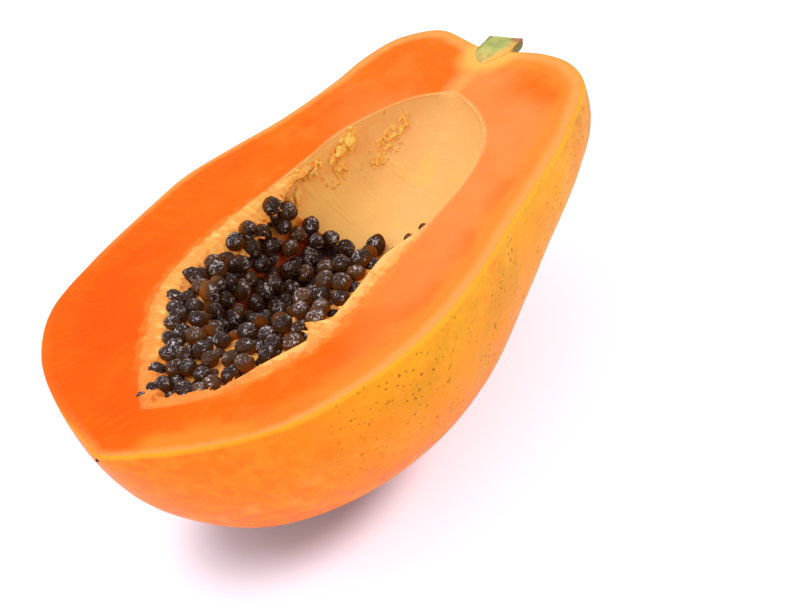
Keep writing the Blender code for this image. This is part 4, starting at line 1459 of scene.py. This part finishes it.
class PAPAYA_OT_pulp_bed(bpy.types.Operator):
    """Lumpy pulp that the seeds sit in"""

    bl_idname = "papaya.pulp_bed"
    bl_label = "Pulp bed"

    def execute(self, context):
        look = context.scene.papaya_fruit
        bed = half_ball("pulp_bed", BED_COLUMNS, BED_RINGS, lambda d: hollow_wall(d, -OVERLAP))
        choose(bed, "VERT", lambda v: True)
        cut_away((0, 0, -BED_TOP - BED_SUNK / 2), (0, 0, 1))
        for x, slope_y, slope_z in BED_ENDS:
            cut_away((x, 0, 0), (1, -slope_y, -slope_z))
        done()
        bpy.ops.mesh.primitive_uv_sphere_add(
            segments=DISH_SEGMENTS, ring_count=DISH_SEGMENTS // 2, radius=1, location=BED_HOLLOW_MIDDLE
        )
        dish = renamed(bpy.context.object, "bed_dish")
        dish.scale = BED_HOLLOW_SIZE + Vector((BED_SUNK,) * 3)
        bpy.context.view_layer.update()
        with_modifier(facing_out(bed), "BOOLEAN", operation="DIFFERENCE", object=dish, solver="EXACT")
        bpy.data.objects.remove(dish)
        with_modifier(bed, "REMESH", mode="VOXEL", voxel_size=BED_VOXEL, use_smooth_shade=True)
        roughened(bed, "bed_lumps", 0.005, 0.0016, 0.5)
        set_down(bed, bed_finish(look), "lining", "seeds")
        return {"FINISHED"}


class PAPAYA_OT_seeds(bpy.types.Operator):
    """All the seeds that line the blossom half of the hollow"""

    bl_idname = "papaya.seeds"
    bl_label = "Seeds"

    def execute(self, context):
        model = seed_model()
        chance = random.Random(SEED_TURN_DRAW)
        edge_tree, _ = outline(hollow_edge)
        seeds = []

        def add(place, out, turn, growth, tone):
            seeds.append(placed_seed(model, place, turn, out, growth, tone))

        places = scattered(**SEED_SCATTER)
        for place, out in places:
            turn = seed_turn(chance, out)
            growth = chance.uniform(*SEED_GROWTH) * SEED_COAT
            tone = chance.random()
            if not under_pulp(place, edge_tree):
                add(place, out, turn, growth, tone)
        for place, out in scattered(**FILLER_SCATTER, others=places):
            add(place, out, seed_turn(chance, out), chance.uniform(*FILLER_GROWTH), chance.random())
        for x, y, growth in RIM_SEEDS:
            place = Vector((x, y, RIM_SEED_TOP - SEED_SIZE.z * growth))
            out = RIM_SEED_OUT.normalized()
            add(place, out, seed_turn(chance, out), growth, chance.random())
        bpy.data.objects.remove(model)
        finish = seed_finish(context.scene.papaya_seeds)
        set_down(smooth(fused("seed_cluster", *seeds), NO_EDGE), finish, "seed", "seeds")
        return {"FINISHED"}


class PAPAYA_OT_loose_seeds(bpy.types.Operator):
    """Single seeds that stick to the lining away from the others"""

    bl_idname = "papaya.loose_seeds"
    bl_label = "Loose seeds"

    def execute(self, context):
        finish = bpy.data.materials["papaya_seed"]
        model = seed_model()
        chance = random.Random(LOOSE_DRAW)
        for node, (share, degrees, growth) in LOOSE_SEEDS.items():
            direction = wall_direction(share, degrees)
            out = wall_normal(direction)
            place = hollow_wall(direction) + out * SEED_SIZE.y * growth
            turn = seed_turn(chance, out)
            seed = placed_seed(model, place, turn, out, growth, chance.uniform(0.2, 0.9))
            renamed(seed, node.replace("loose", "on_lining"))
            with_modifier(seed, "SUBSURF", levels=1, render_levels=1)
            set_down(smooth(seed, NO_EDGE), finish, "seed", node)
        bpy.data.objects.remove(model)
        return {"FINISHED"}


class PAPAYA_OT_stalk(bpy.types.Operator):
    """Short stalk stub in the notch, halved by the same cut"""

    bl_idname = "papaya.stalk"
    bl_label = "Stalk"

    def execute(self, context):
        look = context.scene.papaya_stalk
        first_x, first_radius = STALK_PROFILE[0]
        bpy.ops.mesh.primitive_circle_add(
            vertices=STALK_SIDES, radius=first_radius, fill_type="NGON", rotation=(0, math.pi / 2, 0),
            location=(first_x * LENGTH, STALK_LINE_Y, 0),
        )
        stub = renamed(bpy.context.object, "stalk_stub")
        bpy.ops.object.transform_apply(location=True, rotation=True, scale=True)
        choose(stub, "FACE", lambda face: True)
        for (x0, r0), (x1, r1) in zip(STALK_PROFILE, STALK_PROFILE[1:]):
            step = {"value": ((x1 - x0) * LENGTH, 0, 0)}
            bpy.ops.mesh.extrude_region_move(TRANSFORM_OT_translate=step)
            middle = (x1 * LENGTH, STALK_LINE_Y, 0)
            bpy.ops.transform.resize(value=(1, r1 / r0, r1 / r0), center_override=middle)
        bpy.ops.mesh.inset(thickness=STALK_BARK, depth=-STALK_BARK / 2)
        cut_away((0, 0, STALK_PROUD), (0, 0, 1))
        done()
        corner = math.radians(STALK_CORNER)
        facing_out(stub)
        with_modifier(
            stub, "BEVEL", width=STALK_BEVEL, segments=2, limit_method="ANGLE", angle_limit=corner
        )
        with_modifier(stub, "REMESH", mode="VOXEL", voxel_size=STALK_VOXEL, use_smooth_shade=True)
        roughened(stub, "stalk_ribs", 0.0012, 0.0003)
        set_down(stub, stalk_finish(look), "stalk", "stalk")
        return {"FINISHED"}


class PAPAYA_OT_blossom_scar(bpy.types.Operator):
    """Small dry scar of the blossom just below the tip"""

    bl_idname = "papaya.blossom_scar"
    bl_label = "Blossom scar"

    def execute(self, context):
        look = context.scene.papaya_stalk
        bpy.ops.mesh.primitive_uv_sphere_add(segments=16, ring_count=10, radius=1)
        scar = renamed(bpy.context.object, "blossom_scar")
        scar.scale = SCAR_SIZE
        scar.rotation_euler = SCAR_TURN
        scar.location = SCAR_PLACE
        bpy.ops.object.transform_apply(location=True, rotation=True, scale=True)
        with_modifier(scar, "SUBSURF", levels=1, render_levels=1)
        roughened(scar, "scar_crust", 0.0005, 0.0005, 0.6)
        set_down(smooth(scar, NO_EDGE), scar_finish(look), "skin")
        return {"FINISHED"}


class PAPAYA_OT_stage(bpy.types.Operator):
    """Pale floor, soft light and the camera at the photograph's angle"""

    bl_idname = "papaya.stage"
    bl_label = "Stage"

    def execute(self, context):
        scene = context.scene
        look = scene.papaya_stage
        bpy.ops.mesh.primitive_plane_add(size=FLOOR_WIDTH, location=(0, 0, HALF_LOW.z - FLOOR_GAP))
        floor = renamed(bpy.context.object, "floor")
        bpy.ops.object.transform_apply(location=True, rotation=True, scale=True)
        floor.data.materials.append(floor_finish(look))
        for name, share, size, place in SOFTBOXES:
            light = bpy.data.lights.new(name, "AREA")
            light.energy = look.softbox * share
            light.size = size
            light.color = SOFTBOX_COLOUR
            add_aimed(scene, name, light, place)
        scene.world = bpy.data.worlds.new("papaya_sky")
        scene.world.use_nodes = True
        background = scene.world.node_tree.nodes["Background"]
        background.inputs["Color"].default_value = (1, 1, 1, 1)
        background.inputs["Strength"].default_value = look.sky
        view = bpy.data.cameras.new("camera")
        view.lens = CAMERA_LENS
        view.sensor_width = CAMERA_SENSOR
        view.clip_start = 0.01
        scene.camera = add_aimed(scene, "camera", view, CAMERA_PLACE, CAMERA_ROLL)
        scene.view_settings.view_transform = "Standard"
        return {"FINISHED"}


def add_aimed(scene, name, data, place, roll=0.0):
    """A light or a camera at a place, aimed at the middle of the picture."""
    aimed = bpy.data.objects.new(name, data)
    aimed.location = place
    aimed.rotation_mode = "QUATERNION"
    level = (CAMERA_AIM - place).to_track_quat("-Z", "Y")
    aimed.rotation_quaternion = level @ Quaternion((0, 0, 1), math.radians(roll))
    scene.collection.objects.link(aimed)
    return aimed


class PAPAYA_PT_panel(bpy.types.Panel):
    """Buttons for each group of pieces"""

    bl_label = "Papaya Half"
    bl_idname = "PAPAYA_PT_panel"
    bl_space_type = "VIEW_3D"
    bl_region_type = "UI"
    bl_category = "Papaya"

    def draw(self, context):
        for operator in OPERATORS:
            self.layout.operator(operator.bl_idname)
        for settings in SETTINGS:
            group = getattr(context.scene, settings)
            box = self.layout.box()
            for name in group.__annotations__:
                box.prop(group, name)


OPERATORS = (
    PAPAYA_OT_rind,
    PAPAYA_OT_flesh,
    PAPAYA_OT_lining,
    PAPAYA_OT_torn_fringe,
    PAPAYA_OT_tufts,
    PAPAYA_OT_pulp_bed,
    PAPAYA_OT_seeds,
    PAPAYA_OT_loose_seeds,
    PAPAYA_OT_stalk,
    PAPAYA_OT_blossom_scar,
    PAPAYA_OT_stage,
)
SETTINGS = {
    "papaya_fruit": PapayaFruitSettings,
    "papaya_seeds": PapayaSeedSettings,
    "papaya_stalk": PapayaStalkSettings,
    "papaya_stage": PapayaStageSettings,
}


def register():
    """Registers the settings, the operators and the panel."""
    for name, settings in SETTINGS.items():
        bpy.utils.register_class(settings)
        setattr(bpy.types.Scene, name, bpy.props.PointerProperty(type=settings))
    for kind in (*OPERATORS, PAPAYA_PT_panel):
        bpy.utils.register_class(kind)


def unregister():
    """Takes them away again."""
    for kind in (PAPAYA_PT_panel, *reversed(OPERATORS)):
        bpy.utils.unregister_class(kind)
    for name, settings in SETTINGS.items():
        delattr(bpy.types.Scene, name)
        bpy.utils.unregister_class(settings)


def main():
    """Builds every piece and the stage."""
    register()
    bpy.ops.papaya.rind()
    bpy.ops.papaya.flesh()
    bpy.ops.papaya.lining()
    bpy.ops.papaya.torn_fringe()
    bpy.ops.papaya.tufts()
    bpy.ops.papaya.pulp_bed()
    bpy.ops.papaya.seeds()
    bpy.ops.papaya.loose_seeds()
    bpy.ops.papaya.stalk()
    bpy.ops.papaya.blossom_scar()
    bpy.ops.papaya.stage()


if __name__ == "__main__":
    main()
